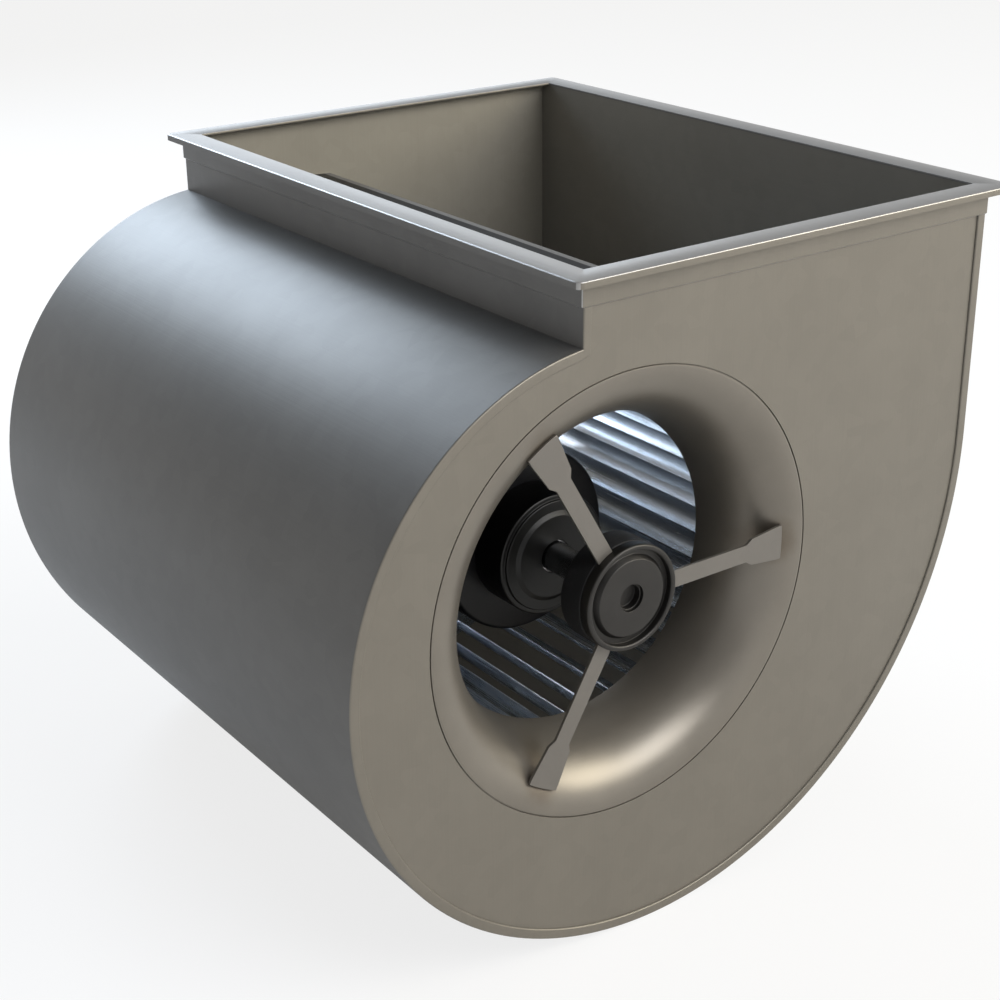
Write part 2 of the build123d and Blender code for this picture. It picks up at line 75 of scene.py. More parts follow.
# The axle runs along Y. A depth is measured from the outer face of a side plate towards the middle.
AXLE_PLACE = frame["joints"][0]["pos_m"]
AXLE_X = AXLE_PLACE[0]
AXLE_Z = AXLE_PLACE[2]
PLATE_FACE = -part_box("side_plate_front")[0].y
FRONT = 1
REAR = -1
SIDES = (("front", FRONT), ("rear", REAR))

# Roundings, in metres: of cut sheet, of a turned rim, of a chamfered corner and of a bend in sheet.
CUT_EDGE = 0.0003
RIM_EDGE = 0.0004
CORNER_EDGE = 0.0006
BEND_EDGE = 0.0008

# A rounding takes at least this many steps, and none of them turns further than this.
FEWEST_STEPS = 3
WIDEST_STEP = math.radians(15)

# Points closer than this are one point, in metres.
MERGE_DISTANCE = 1e-7

# A face counts as flat, as nearly flat or as leaning when its normal's share along an axis is above these.
FLAT = 0.999
NEARLY_FLAT = 0.85
LEANING = 0.45

# The camera that was fitted to the photo: its place in metres, its way forward and its way right.
CAMERA_PLACE = (-0.7930803, -1.0114239, 0.289436)
CAMERA_FORWARD = (0.5401011, 0.7429621, -0.3953456)
CAMERA_RIGHT = (0.806553, -0.5910939, -0.0089547)

WHITE = (1.0, 1.0, 1.0)

# Body, finish and smoothing angle of a turned piece, by its material slot.
TURNED = {
    "side_sheet": ("housing", "bell", 30.0),
    "hub_metal": ("housing", "hub", 40.0),
    "rubber": ("housing", "rubber", 40.0),
    "dish_metal": ("wheel", "dish", 35.0),
    "motor_black": ("wheel", "rotor", 35.0),
    "wheel_steel": ("wheel", "wheel", 35.0),
}


def length(name, description, default):
    """A size of a piece, in metres."""
    return FloatProperty(
        name=name, description=description, default=default, precision=4, subtype="DISTANCE", unit="LENGTH"
    )


def angle(name, description, default):
    """An angle of a piece, given in degrees."""
    return FloatProperty(
        name=name, description=description, default=math.radians(default), subtype="ANGLE", unit="ROTATION"
    )


def count(name, description, default):
    """How many of a piece there are."""
    return IntProperty(name=name, description=description, default=default, min=1)


def colour(name, description, default):
    """A finish's base colour, in linear values."""
    return FloatVectorProperty(
        name=name, description=description, default=default, size=3, min=0.0, max=1.0, subtype="COLOR"
    )


def level(name, description, default):
    """A lamp's power or a background's strength."""
    return FloatProperty(name=name, description=description, default=default, min=0.0)


class ScrollSizes(bpy.types.PropertyGroup):
    """Spiral housing: side plates and the sheet wrapped round them"""

    sheet: length("Sheet", "Thickness of the side plates and the wrapper", 0.0012)
    edge_gap: length("Edge gap", "Gap between a side plate's edge and the wrapper", 0.00005)
    seam_width: length("Seam width", "Width of the wrapper's edge folded over a side plate", 0.007)
    seam_gap: length("Seam gap", "Gap between a folded edge and the side plate", 0.0001)
    bend_radius: length("Bend radius", "Outer radius of the folded edge", 0.0012)
    seam_edge: length("Seam edge", "Rounding of a folded edge's inner rim", 0.0009)
    top_radius: length("Top radius", "Spiral's radius straight above its centre", 0.1653)
    growth: angle("Growth", "Angle between the spiral and a circle", 7.2)
    centre_x: length("Centre X", "Spiral's centre, sideways from the axle", -0.0012)
    centre_z: length("Centre Z", "Spiral's centre, up from the axle", 0.0029)
    plate_edge: length("Plate edge", "Rounding of a side plate's edges", 0.00025)
    steps: count("Steps", "Facets along the spiral", 160)


class FlangeSizes(bpy.types.PropertyGroup):
    """Outlet flange: flat band, turned-down rim and collar"""

    band: length("Band", "Width of the flat band", 0.020)
    sheet: length("Sheet", "Thickness of the flange's sheet", 0.0015)
    rim_height: length("Rim height", "Height of the turned-down rim", 0.0045)
    corner_radius: length("Corner radius", "Radius of the band's outer corners", 0.005)
    bend_radius: length("Bend radius", "Radius along the rim's bent edge", 0.0011)
    mouth_radius: length("Mouth radius", "Rounding of the mouth's edge", 0.0004)
    collar_gap: length("Collar gap", "Gap between the collar and the neck", 0.0001)


class InletSizes(bpy.types.PropertyGroup):
    """Inlet bells and the arms in them"""

    rim_radius: length("Rim radius", "Bell's radius at the side plate", 0.148)
    throat_radius: length("Throat radius", "Bell's radius at its inner end", 0.106)
    depth: length("Depth", "Depth of the bell's inner end", 0.058)
    sheet: length("Sheet", "Thickness of the bell's sheet", 0.0012)
    groove: length("Groove", "Groove between the bell and the side plate", 0.0008)
    lap: length("Lap", "Width of the bell's lap behind the side plate", 0.008)
    joggle: length("Joggle", "Width of the step down to the lap", 0.0012)
    arm_sheet: length("Arm sheet", "Thickness of an arm", 0.002)
    arm_depth: length("Arm depth", "Depth of an arm's outer face", 0.0025)
    arm_width: length("Arm width", "Width of an arm's narrow part", 0.012)
    arm_shoulder_width: length("Shoulder width", "Width of an arm at its shoulder", 0.0185)
    arm_tip_width: length("Tip width", "Width of an arm at its tip", 0.0235)
    arm_reach: length("Arm reach", "Radius at which the narrow part ends", 0.100)
    arm_shoulder_reach: length("Shoulder reach", "Radius at which the shoulder ends", 0.105)
    arm_flare_reach: length("Flare reach", "Radius at which the flare ends", 0.127)
    weld_gap: length("Weld gap", "Gap between an arm and what it is welded to", 0.0001)
    arm_count: count("Arms", "Arms in each inlet", 3)


class HubSizes(bpy.types.PropertyGroup):
    """Hub caps, rubber bushes and the axle they hold"""

    radius: length("Radius", "Hub cap's outer radius", 0.0353)
    lip_depth: length("Lip depth", "Depth of the lip's front, negative where it stands proud", -0.003)
    rim_length: length("Rim length", "Length of the cap's rim along the axle", 0.008)
    lip_width: length("Lip width", "Width of the rounded lip", 0.0037)
    groove_width: length("Groove width", "Width of the groove inside the lip", 0.0038)
    groove_depth: length("Groove depth", "Depth of the groove from the lip", 0.005)
    slope: angle("Slope", "Slope from the groove up to the flat face", 60.0)
    face_recess: length("Face recess", "How far the flat face lies behind the lip", 0.001)
    sheet: length("Sheet", "Thickness of the cap", 0.002)
    edge_radius: length("Edge radius", "Rounding of the lip", 0.0015)
    hole_radius: length("Hole radius", "Radius of the hole over the axle's end", 0.0092)
    rubber_radius: length("Rubber radius", "Radius of the rubber bush behind the cap", 0.0356)
    rubber_depth: length("Rubber depth", "Depth of the rubber bush's inner end", 0.025)
    rubber_gap: length("Rubber gap", "Gap round the rubber bush", 0.0001)
    rubber_shoulder: length("Rubber shoulder", "Rounding where the bush swells behind the cap", 0.001)
    rubber_end: length("Rubber end", "Rounding of the bush's inner end", 0.0025)
    sleeve_radius: length("Sleeve radius", "Outer radius of the steel sleeve", 0.015)
    sleeve_depth: length("Sleeve depth", "Depth of the sleeve's inner end", 0.027)
    axle_radius: length("Axle radius", "Radius of the axle in its bearings", 0.010)
    axle_recess_radius: length("Recess radius", "Radius of the recess in the axle's end", 0.008)
    axle_recess_depth: length("Recess depth", "Depth of the recess in the axle's end", 0.005)
    axle_shoulder_radius: length("Shoulder radius", "Axle's radius behind the bearings", 0.0125)
    axle_stator_radius: length("Stator seat radius", "Axle's radius in the stator", 0.015)
    stator_seat_half: length("Stator seat", "Half the length of the stator's seat", 0.078)
    stator_half: length("Stator half", "Half the length of the stator", 0.070)
    fit: length("Fit", "Gap round the axle", 0.00003)
    clip_groove_depth: length("Clip groove depth", "Depth of a clip's groove", 0.0006)
    clip_sheet: length("Clip sheet", "Thickness of a clip", 0.0015)
    channel_width: length("Channel width", "Width of the leads' channel", 0.006)
    channel_depth: length("Channel depth", "Depth of the leads' channel", 0.004)


class MotorSizes(bpy.types.PropertyGroup):
    """Bearing housings and the rotor's body"""

    dish_radius: length("Dish radius", "Bearing housing's outer radius", 0.0415)
    dish_depth: length("Dish depth", "Depth of the bearing housing's rim", 0.078)
    rim_width: length("Rim width", "Width of the rim", 0.0035)
    edge_radius: length("Edge radius", "Rounding of the rim", 0.0015)
    step_height: length("Step height", "Height of the step inside the rim", 0.0018)
    step_edge: length("Step edge", "Rounding of the step", 0.0008)
    boss_height: length("Boss height", "Height of the boss above the step", 0.0018)
    boss_foot: length("Boss foot", "Radius of the boss at the foot of its slope", 0.031)
    boss_radius: length("Boss radius", "Radius of the boss at its face", 0.028)
    wall: length("Wall", "Wall of the casting", 0.004)
    bore_gap: length("Bore gap", "Gap between the casting and the axle", 0.001)
    bearing_radius: length("Bearing radius", "Outer radius of a bearing", 0.0235)
    bearing_width: length("Bearing width", "Width of a bearing", 0.014)
    pocket_overrun: length("Pocket overrun", "How far the pocket's wall passes the bearing", 0.0015)
    pocket_edge: length("Pocket edge", "Rounding of the pocket's outer end", 0.0005)
    boss_bend: length("Boss bend", "Rounding at the boss's head and foot", 0.0012)
    fillet: length("Fillet", "Rounding inside the casting", 0.001)
    seam_edge: length("Seam edge", "Rounding where the end cap meets the shell", 0.0002)
    rotor_radius: length("Rotor radius", "Radius of the rotor's body", 0.063)
    rotor_depth: length("Rotor depth", "Depth of the rotor's end cap", 0.106)
    rotor_wall: length("Rotor wall", "Wall of the rotor's shell", 0.003)
    rotor_edge: length("Rotor edge", "Rounding of the end cap", 0.0025)
    cap_sheet: length("Cap sheet", "Thickness of the end cap", 0.003)
    spigot: length("Spigot", "Length of the end cap's spigot", 0.008)
    fit: length("Fit", "Gap between fitted pieces", 0.00005)


class WheelSizes(bpy.types.PropertyGroup):
    """Blade wheel"""

    inner_radius: length("Inner radius", "Blades' inner radius", 0.116)
    outer_radius: length("Outer radius", "Blades' outer radius", 0.1398)
    lean: angle("Lean", "Angle from a blade's root to its tip", 7.0)
    phase: angle("Phase", "Angle of the first blade", 2.7)
    sheet: length("Sheet", "Thickness of a blade", 0.001)
    gap: length("Gap", "Gap between a bell's throat and the wheel", 0.004)
    disc_sheet: length("Disc sheet", "Thickness of the centre disc", 0.002)
    disc_margin: length("Disc margin", "How far the disc stands out past the blades", 0.001)
    ring_sheet: length("Ring sheet", "Thickness of an end ring", 0.0015)
    ring_inner_radius: length("Ring inner radius", "Inner radius of an end ring", 0.127)
    band_width: length("Band width", "Width of the band round an end ring", 0.009)
    band_gap: length("Band gap", "Gap between the blades and the band", 0.0006)
    hub_wall: length("Hub wall", "Wall of the wheel's hub", 0.004)
    hub_length: length("Hub length", "Length of the wheel's hub", 0.024)
    hub_flange_radius: length("Hub flange radius", "Radius of the hub's flange", 0.082)
    hub_flange_sheet: length("Hub flange sheet", "Thickness of the hub's flange", 0.004)
    hub_bore_edge: length("Hub bore edge", "Rounding of the hub's bore", 0.0005)
    hub_fillet: length("Hub fillet", "Rounding between the hub and its flange", 0.0015)
    ring_bend: length("Ring bend", "Rounding between an end ring and its band", 0.0012)
    rivet_circle: length("Rivet circle", "Radius of the circle of rivets", 0.074)
    rivet_head_radius: length("Rivet head radius", "Radius of a rivet's head", 0.0055)
    rivet_head_height: length("Rivet head height", "Height of a rivet's head", 0.002)
    rivet_gap: length("Rivet gap", "Gap between the disc and the hub", 0.0001)
    blade_count: count("Blades", "Blades in each half of the wheel", 40)
    rivet_count: count("Rivets", "Rivets in the hub's flange", 8)


class FinishColours(bpy.types.PropertyGroup):
    """Base colours of the finishes"""

    plate: colour("Side plate", "Side plates", (0.193, 0.177, 0.151))
    # Darker copy of the side plates' sheet: painted shade on the wrapper's outside.
    wrapper: colour("Wrapper", "Spiral wrapper", (0.127, 0.1225, 0.116))
    # Darker copy of the sheet for faces that look left or right, on the collar and the neck: painted shade.
    collar: colour("Collar", "Flange's collar and the neck under it", (0.144, 0.140, 0.134))
    # Lighter copy of the side plates' sheet: painted light on their faces inside the housing.
    plate_inside: colour("Plate inside", "Side plates' faces inside the housing", (0.315, 0.293, 0.247))
    # Lighter copy of the wrapper's sheet: painted light on its face inside the housing.
    wrapper_inside: colour("Wrapper inside", "Wrapper's face inside the housing", (0.205, 0.194, 0.17))
    # Lighter copy of the sheet for the flange's level faces: painted light.
    flange: colour("Flange", "Outlet flange", (0.355, 0.352, 0.350))
    bell: colour("Bell", "Inlet bells", (0.191, 0.174, 0.150))
    # Near-black: painted shade for the gap where the cutoff plate sits.
    cutoff: colour("Cutoff plate", "Cutoff plate", (0.018, 0.018, 0.018))
    arm: colour("Arm", "Arms", (0.175, 0.163, 0.148))
    hub: colour("Hub cap", "Hub caps", (0.056, 0.054, 0.052))
    rubber: colour("Rubber", "Rubber bushes", (0.012, 0.012, 0.013))
    axle: colour("Axle", "Axle and sleeves", (0.24, 0.245, 0.25))
    dish: colour("Bearing housing", "Bearing housings", (0.032, 0.032, 0.032))
    rotor: colour("Rotor", "Rotor's body", (0.005, 0.005, 0.006))
    # Steel's own pale grey, made lighter and bluer as painted reflection of the cool light on the blades.
    wheel: colour("Wheel", "Blades, rings and disc", (0.74, 0.79, 0.86))
    # Darker brown patches on the bells round each arm's tip.
    arm_tip_tint: colour("Heat tint", "Marks that welding left on the bells", (0.10, 0.075, 0.05))
    # Painted highlight along the cutoff plate's curled edge.
    cutoff_edge_highlight: colour("Cutoff edge", "Cutoff plate's curled edge", (0.14, 0.138, 0.135))
    spring: colour("Spring steel", "Clips and rivets", (0.20, 0.20, 0.21))
    race: colour("Bearing steel", "Bearing rings and balls", (0.62, 0.62, 0.64))
    stator: colour("Stator", "Stator's iron", (0.18, 0.18, 0.19))
    cage: colour("Cage", "Rotor's iron", (0.14, 0.14, 0.145))
    winding: colour("Winding", "Stator's windings", (0.60, 0.24, 0.09))
    floor: colour("Floor", "Floor", (0.82, 0.82, 0.82))


class StageSettings(bpy.types.PropertyGroup):
    """Camera, lamps and floor"""

    lens: FloatProperty(name="Lens", description="Focal length in millimetres", default=65.885, min=1.0)
    distance: length("Lamp distance", "Distance of the two front soft boxes from the blower", 6.0)
    back_distance: length("Back distance", "Distance of the soft box behind from the blower", 2.6)
    key: level("Key", "Power of the warm soft box, front right", 228.0)
    front: level("Front", "Power of the soft box above the front", 215.0)
    back: level("Back", "Power of the cool soft box behind", 50.0)
    ceiling: level("Ceiling", "Strength of the surroundings above the backdrop", 0.34)


class Wire:
    """A socket in a node tree. Arithmetic on wires adds the Math nodes that work it out."""

    def __init__(self, graph, socket):
        self.graph = graph
        self.socket = socket

    def math(self, operation, first, second=0.0):
        """A Math node's result."""
        return self.graph.node("ShaderNodeMath", {"operation": operation}, {0: first, 1: second})

    def __lt__(self, other):
        return self.math("LESS_THAN", self, other)

    def __gt__(self, other):
        return self.math("GREATER_THAN", self, other)

    def sin(self):
        return self.math("SINE", self)

    def cos(self):
        return self.math("COSINE", self)

    def size(self):
        """The value without its sign."""
        return self.math("ABSOLUTE", self)

    def smooth(self, low, high):
        """0 below low, 1 above high, with a smooth step between them."""
        return self.graph.node(
            "ShaderNodeMapRange",
            {"interpolation_type": "SMOOTHSTEP"},
            {"Value": self, "From Min": low, "From Max": high},
        )


def add_arithmetic(word, operation):
    """Gives wires an operator, for a wire before it and for one after it."""
    setattr(Wire, f"__{word}__", lambda self, other: self.math(operation, self, other))
    setattr(Wire, f"__r{word}__", lambda self, other: self.math(operation, other, self))


ARITHMETIC = {"add": "ADD", "sub": "SUBTRACT", "mul": "MULTIPLY", "truediv": "DIVIDE", "pow": "POWER"}
for word, operation in ARITHMETIC.items():
    add_arithmetic(word, operation)


class Graph:
    """A node tree that is being built."""

    def __init__(self, tree):
        self.tree = tree

    def node(self, kind, settings=None, inputs=None, output=0):
        """Adds a node, sets its settings, fills or links its sockets, and returns one of its outputs."""
        made = self.tree.nodes.new(kind)
        for name, value in (settings or {}).items():
            setattr(made, name, value)
        for key, value in (inputs or {}).items():
            if isinstance(value, Wire):
                self.tree.links.new(value.socket, made.inputs[key])
            else:
                made.inputs[key].default_value = value
        return Wire(self, made.outputs[output]) if made.outputs else None

    def mix(self, factor, first, second):
        """Mix of two colours."""
        return self.node("ShaderNodeMix", {"data_type": "RGBA"}, {0: factor, 6: first, 7: second}, output=2)

    def parts(self, place):
        """X, Y and Z of a place."""
        split = self.node("ShaderNodeSeparateXYZ", inputs={"Vector": place}).socket.node
        return [Wire(self, socket) for socket in split.outputs]

    def rays(self):
        """1 for a ray from the camera, for one off a glossy surface, and for one through glass."""
        path = self.node("ShaderNodeLightPath").socket.node
        names = ("Is Camera Ray", "Is Glossy Ray", "Is Transmission Ray")
        return [Wire(self, path.outputs[name]) for name in names]


class Finish(Graph):
    """A material that is being built, on a Principled shader."""

    def __init__(self, name):
        self.material = bpy.data.materials.new(name)
        self.material.use_nodes = True
        self.material.node_tree.nodes.clear()
        super().__init__(self.material.node_tree)
        self.place = self.node("ShaderNodeTexCoord", output="Object")

    def radius(self, x=AXLE_X, z=AXLE_Z):
        """Distance from the axle's line, or from another line along Y."""
        across, _, up = self.parts(self.place)
        return ((across - x) ** 2.0 + (up - z) ** 2.0) ** 0.5

    def noise(self, scale, detail, roughness, stretch=None):
        """Noise from 0 to 1. Its place can be scaled along each axis."""
        place = self.place
        if stretch:
            place = self.node("ShaderNodeVectorMath", {"operation": "MULTIPLY"}, {0: place, 1: stretch})
        return self.node(
            "ShaderNodeTexNoise",
            inputs={"Vector": place, "Scale": scale, "Detail": detail, "Roughness": roughness},
        )

    def rings(self, along, detail):
        """Tool marks: noise from 0 to 1 that changes along one value only."""
        return self.node(
            "ShaderNodeTexNoise", {"noise_dimensions": "1D"}, {"W": along, "Scale": 1.0, "Detail": detail}
        )

    def mottled(self, pattern, low, high, rgb, contrast):
        """A colour that a pattern makes darker and lighter by a share of itself."""
        return self.mix(pattern.smooth(low, high), tint(rgb, 1.0 - contrast), tint(rgb, 1.0 + contrast))

    def shade(self, base, roughness, metallic=1.0, *, grain, depth, specular=0.5):
        """Ends the material. The grain is a height from 0 to 1, and its depth is in metres."""
        bump = self.node("ShaderNodeBump", inputs={"Strength": 1.0, "Distance": depth, "Height": grain})
        inputs = {"Base Color": base, "Roughness": roughness, "Metallic": metallic}
        inputs |= {"Specular IOR Level": specular, "Normal": bump}
        shader = self.node("ShaderNodeBsdfPrincipled", inputs=inputs)
        self.node("ShaderNodeOutputMaterial", inputs={"Surface": shader})
        return self.material


def tint(rgb, factor):
    """A colour made lighter or darker, with its alpha."""
    return tuple(min(1.0, channel * factor) for channel in rgb) + (1.0,)


def rolled_sheet(finish, rgb, fineness, roughness=0.40, contrast=0.05, metallic=0.65):
    """Zinc-coated sheet: faint cloudy spangle, and rolling marks along one axis."""
    clouds = finish.noise(14.0, 3.0, 0.6)
    spangle = finish.node(
        "ShaderNodeTexVoronoi", {"feature": "F1"}, {"Vector": finish.place, "Scale": 90.0}, output="Color"
    )
    facet = finish.parts(spangle)[0]
    marks = finish.noise(1.0, 4.0, 0.65, stretch=fineness)
    wear = finish.noise(5.0, 5.0, 0.7)
    base = finish.mottled(clouds * 0.55 + facet * 0.15 + marks * 0.30, 0.25, 0.75, rgb, contrast)
    rough = roughness - 0.05 + 0.07 * wear + 0.05 * marks
    return finish.shade(base, rough, metallic, grain=marks * 0.7 + clouds * 0.3, depth=0.00006)


def spun_sheet(finish, rgb):
    """Sheet spun round the axle: fine rings, cloudy tarnish, and darker brown patches round the tips of the
    arms, which are welded on.
    """
    _, depth, _ = finish.parts(finish.place)
    rings = finish.rings((finish.radius() + depth.size() * 0.7) * 2600.0, 3.0)
    clouds = finish.noise(22.0, 5.0, 0.62)
    base = finish.mottled(clouds * 0.7 + rings * 0.3, 0.3, 0.7, rgb, 0.06)
    patches = finish.noise(60.0, 4.0, 0.7)
    # Darker brown patches round each arm's tip.
    near_arm_tip = 0.0
    for x, z in arm_tip_places():
        near_arm_tip = (1.0 - (finish.radius(x, z) + patches * 0.010).smooth(0.010, 0.026)) + near_arm_tip
    base = finish.mix(near_arm_tip * 0.55, base, tint(bpy.context.scene.blower_colours.arm_tip_tint, 1.0))
    rough = 0.31 + 0.12 * clouds
    return finish.shade(base, rough, 0.65, grain=rings * 0.6 + clouds * 0.4, depth=0.00005)


def painted_shade_sheet(finish, rgb):
    """Near-black sheet, dusty on its flat side: its dark colour is painted shade, and a painted highlight
    runs along its curled edge.
    """
    curl_width = 0.0085
    blend = 0.0005
    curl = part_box("cutoff_plate")[1].x - curl_width
    # Painted highlight: a lighter colour along the curled edge.
    painted_highlight = finish.parts(finish.place)[0].smooth(curl - blend, curl + blend)
    dust = finish.noise(30.0, 4.0, 0.6)
    painted_shade_and_dust = finish.mottled(dust, 0.3, 0.7, rgb, 0.1)
    base = finish.mix(painted_highlight, painted_shade_and_dust, tint(bpy.context.scene.blower_colours.cutoff_edge_highlight, 1.0))
    return finish.shade(base, 0.55, 0.0, grain=dust, depth=0.00005, specular=0.1)


def turned_metal(finish, rgb, roughness, contrast=0.07):
    """Turned or cast metal: tool marks round the axle."""
    _, depth, _ = finish.parts(finish.place)
    marks = finish.rings((finish.radius() + depth) * 5200.0, 2.0)
    clouds = finish.noise(70.0, 4.0, 0.6)
    base = finish.mottled(marks * 0.4 + clouds * 0.6, 0.3, 0.7, rgb, contrast)
    return finish.shade(base, roughness + 0.10 * clouds, grain=marks, depth=0.00003)


def paint(finish, rgb):
    """Baked black paint with a faint orange peel."""
    peel = finish.noise(420.0, 2.0, 0.5)
    dust = finish.noise(35.0, 5.0, 0.7)
    base = finish.mix(dust.smooth(0.45, 0.8), tint(rgb, 1.0), tint(rgb, 1.8))
    return finish.shade(base, 0.25 + 0.15 * dust, metallic=0.0, grain=peel, depth=0.00008, specular=0.2)


def moulded_rubber(finish, rgb):
    """Matt rubber with a fine texture and pale dust."""
    pores = finish.noise(900.0, 2.0, 0.5)
    dust = finish.noise(60.0, 5.0, 0.7)
    base = finish.mix(dust.smooth(0.5, 0.85), tint(rgb, 1.0), tint(rgb, 2.4))
    return finish.shade(base, 0.52 + 0.2 * dust, metallic=0.0, grain=pores, depth=0.0001, specular=0.2)


def wound_wire(finish, rgb):
    """Enamelled wire wound in bundles round the axle."""
    turns = (finish.radius() * 9000.0).sin() * 0.5 + 0.5
    lacquer = finish.noise(80.0, 3.0, 0.5)
    base = finish.mix(turns, tint(rgb, 0.55), tint(rgb, 1.1))
    return finish.shade(base, 0.25 + 0.2 * lacquer, metallic=0.8, grain=turns, depth=0.0003)


def laminated_iron(finish, rgb):
    """Stack of stamped sheets along the axle."""
    _, depth, _ = finish.parts(finish.place)
    sheets = (depth * 12566.0).sin() * 0.5 + 0.5
    stain = finish.noise(45.0, 4.0, 0.6)
    base = finish.mix(sheets * 0.6 + stain * 0.4, tint(rgb, 0.7), tint(rgb, 1.2))
    return finish.shade(base, 0.42 + 0.2 * stain, grain=sheets, depth=0.00008)


# How fine a sheet's rolling marks are along X, Y and Z. They run the way they are coarsest.
UPRIGHT = (900.0, 900.0, 12.0)
ALONG_AXLE = (700.0, 9.0, 700.0)
ALONG_BLADES = (900.0, 9.0, 900.0)
EVEN = (500.0, 500.0, 500.0)

# What makes each finish, and the values that it is given besides the finish's colour.
FINISHES = {
    "plate": (rolled_sheet, dict(fineness=UPRIGHT)),
    # The wrapper, collar, inside and flange rows are lighter and darker copies of one sheet: painted light
    # and shade.
    "wrapper": (rolled_sheet, dict(fineness=ALONG_AXLE, roughness=0.47, contrast=0.07)),
    "collar": (rolled_sheet, dict(fineness=ALONG_AXLE, roughness=0.47, contrast=0.07)),
    "plate_inside": (rolled_sheet, dict(fineness=UPRIGHT, roughness=0.42, metallic=0.35)),
    "wrapper_inside": (rolled_sheet, dict(fineness=ALONG_AXLE, roughness=0.42, metallic=0.35)),
    "flange": (rolled_sheet, dict(fineness=ALONG_AXLE, roughness=0.34)),
    "arm": (rolled_sheet, dict(fineness=EVEN, roughness=0.42, contrast=0.04)),
    # The wheel's pale blue is partly painted reflection.
    "wheel": (rolled_sheet, dict(fineness=ALONG_BLADES, roughness=0.26, metallic=0.9)),
    "bell": (spun_sheet, {}),
    # The cutoff plate's finish is painted shade, with a painted highlight on its edge.
    "cutoff": (painted_shade_sheet, {}),
    "hub": (turned_metal, dict(roughness=0.42)),
    "axle": (turned_metal, dict(roughness=0.20)),
    "dish": (turned_metal, dict(roughness=0.34)),
    "spring": (turned_metal, dict(roughness=0.3)),
    "race": (turned_metal, dict(roughness=0.1, contrast=0.03)),
    "rotor": (paint, {}),
    "rubber": (moulded_rubber, {}),
    "stator": (laminated_iron, {}),
    "cage": (laminated_iron, {}),
    "winding": (wound_wire, {}),
}


def finish_named(name):
    """The finish's material, made when it is first used."""
    material = f"{name}_finish"
    make, values = FINISHES[name]
    rgb = getattr(bpy.context.scene.blower_colours, name)
    return bpy.data.materials.get(material) or make(Finish(material), rgb, **values)


def arm_tip_places():
    """X and Z of the middle of each arm's tip."""
    sizes = bpy.context.scene.blower_inlet
    places = []
    for arm in range(sizes.arm_count):
        turn = 2 * math.pi * arm / sizes.arm_count
        reach = sizes.arm_flare_reach
        places.append((AXLE_X + reach * math.cos(turn), AXLE_Z + reach * math.sin(turn)))
    return places


def add_piece(name, vertices, faces):
    """A mesh piece at the origin, with its doubles merged and its faces turned outwards."""
    mesh = bpy.data.meshes.new(name)
    mesh.from_pydata([tuple(v) for v in vertices], [], faces)
    shell = bmesh.new()
    shell.from_mesh(mesh)
    bmesh.ops.remove_doubles(shell, verts=shell.verts, dist=MERGE_DISTANCE)
    bmesh.ops.recalc_face_normals(shell, faces=shell.faces)
    shell.to_mesh(mesh)
    shell.free()
    piece = bpy.data.objects.new(name, mesh)
    bpy.context.scene.collection.objects.link(piece)
    return piece


def bake_modifiers(piece):
    """Turns a piece and its modifiers into a plain mesh."""
    bpy.context.view_layer.update()
    evaluated = piece.evaluated_get(bpy.context.evaluated_depsgraph_get())
    mesh = bpy.data.meshes.new_from_object(evaluated)
    piece.modifiers.clear()
    piece.data = mesh
    return piece


def round_edges(piece, width, segments=2, limit=35.0):
    """Rounds a piece's sharp edges."""
    bevel = piece.modifiers.new("edges", "BEVEL")
    bevel.width = width
    bevel.segments = segments
    bevel.limit_method = "ANGLE"
    bevel.angle_limit = math.radians(limit)
    bake_modifiers(piece)


def cut(piece, cutter):
    """Takes a cutter's shape out of a piece, and removes the cutter."""
    knife = piece.modifiers.new("cut", "BOOLEAN")
    knife.operation = "DIFFERENCE"
    knife.solver = "EXACT"
    knife.object = cutter
    bake_modifiers(piece)
    bpy.data.objects.remove(cutter)


def dress(piece, finish, smooth):
    """Gives a piece its finish, and smooth faces up to an angle in degrees."""
    piece.data.materials.clear()
    piece.data.materials.append(finish_named(finish))
    piece.data.shade_smooth()
    piece.data.set_sharp_from_angle(angle=math.radians(smooth))
    return piece


def dress_faces(piece, finish, chosen):
    """Gives the faces that a test chooses their own finish."""
    piece.data.materials.append(finish_named(finish))
    for face in piece.data.polygons:
        if chosen(face):
            face.material_index = len(piece.data.materials) - 1


def place_piece(piece, body, slot, *nodes):
    """Puts a finished piece on its body, in place of the CAD nodes that it stands for."""
    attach(piece, body)
    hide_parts(*nodes)


def rounded(corners):
    """Points round a section. A corner is (radius, depth, rounding)."""
    points = []
    for i, (x, y, rounding) in enumerate(corners):
        here = Vector((x, y))
        if rounding == 0:
            points.append((x, y))
            continue
        before = (Vector(corners[i - 1][:2]) - here).normalized()
        after = (Vector(corners[(i + 1) % len(corners)][:2]) - here).normalized()
        half = before.angle(after) / 2
        run = rounding / math.tan(half)
        centre = here + (before + after).normalized() * rounding / math.sin(half)
        start = here + before * run - centre
        sweep = start.angle_signed(here + after * run - centre)
        steps = max(FEWEST_STEPS, math.ceil(abs(sweep) / WIDEST_STEP))
        for step in range(steps + 1):
            turn = -sweep * step / steps
            points.append(
                (
                    centre.x + start.x * math.cos(turn) - start.y * math.sin(turn),
                    centre.y + start.x * math.sin(turn) + start.y * math.cos(turn),
                )
            )
    return points


def arc(radius, start, end, steps):
    """Points along an arc about the origin, with both its ends."""
    turns = [start + (end - start) * step / steps for step in range(steps + 1)]
    return [(radius * math.cos(turn), radius * math.sin(turn)) for turn in turns]


BLOCK_FACES = ((0, 1, 3, 2), (4, 5, 7, 6), (0, 1, 5, 4), (2, 3, 7, 6), (0, 2, 6, 4), (1, 3, 7, 5))


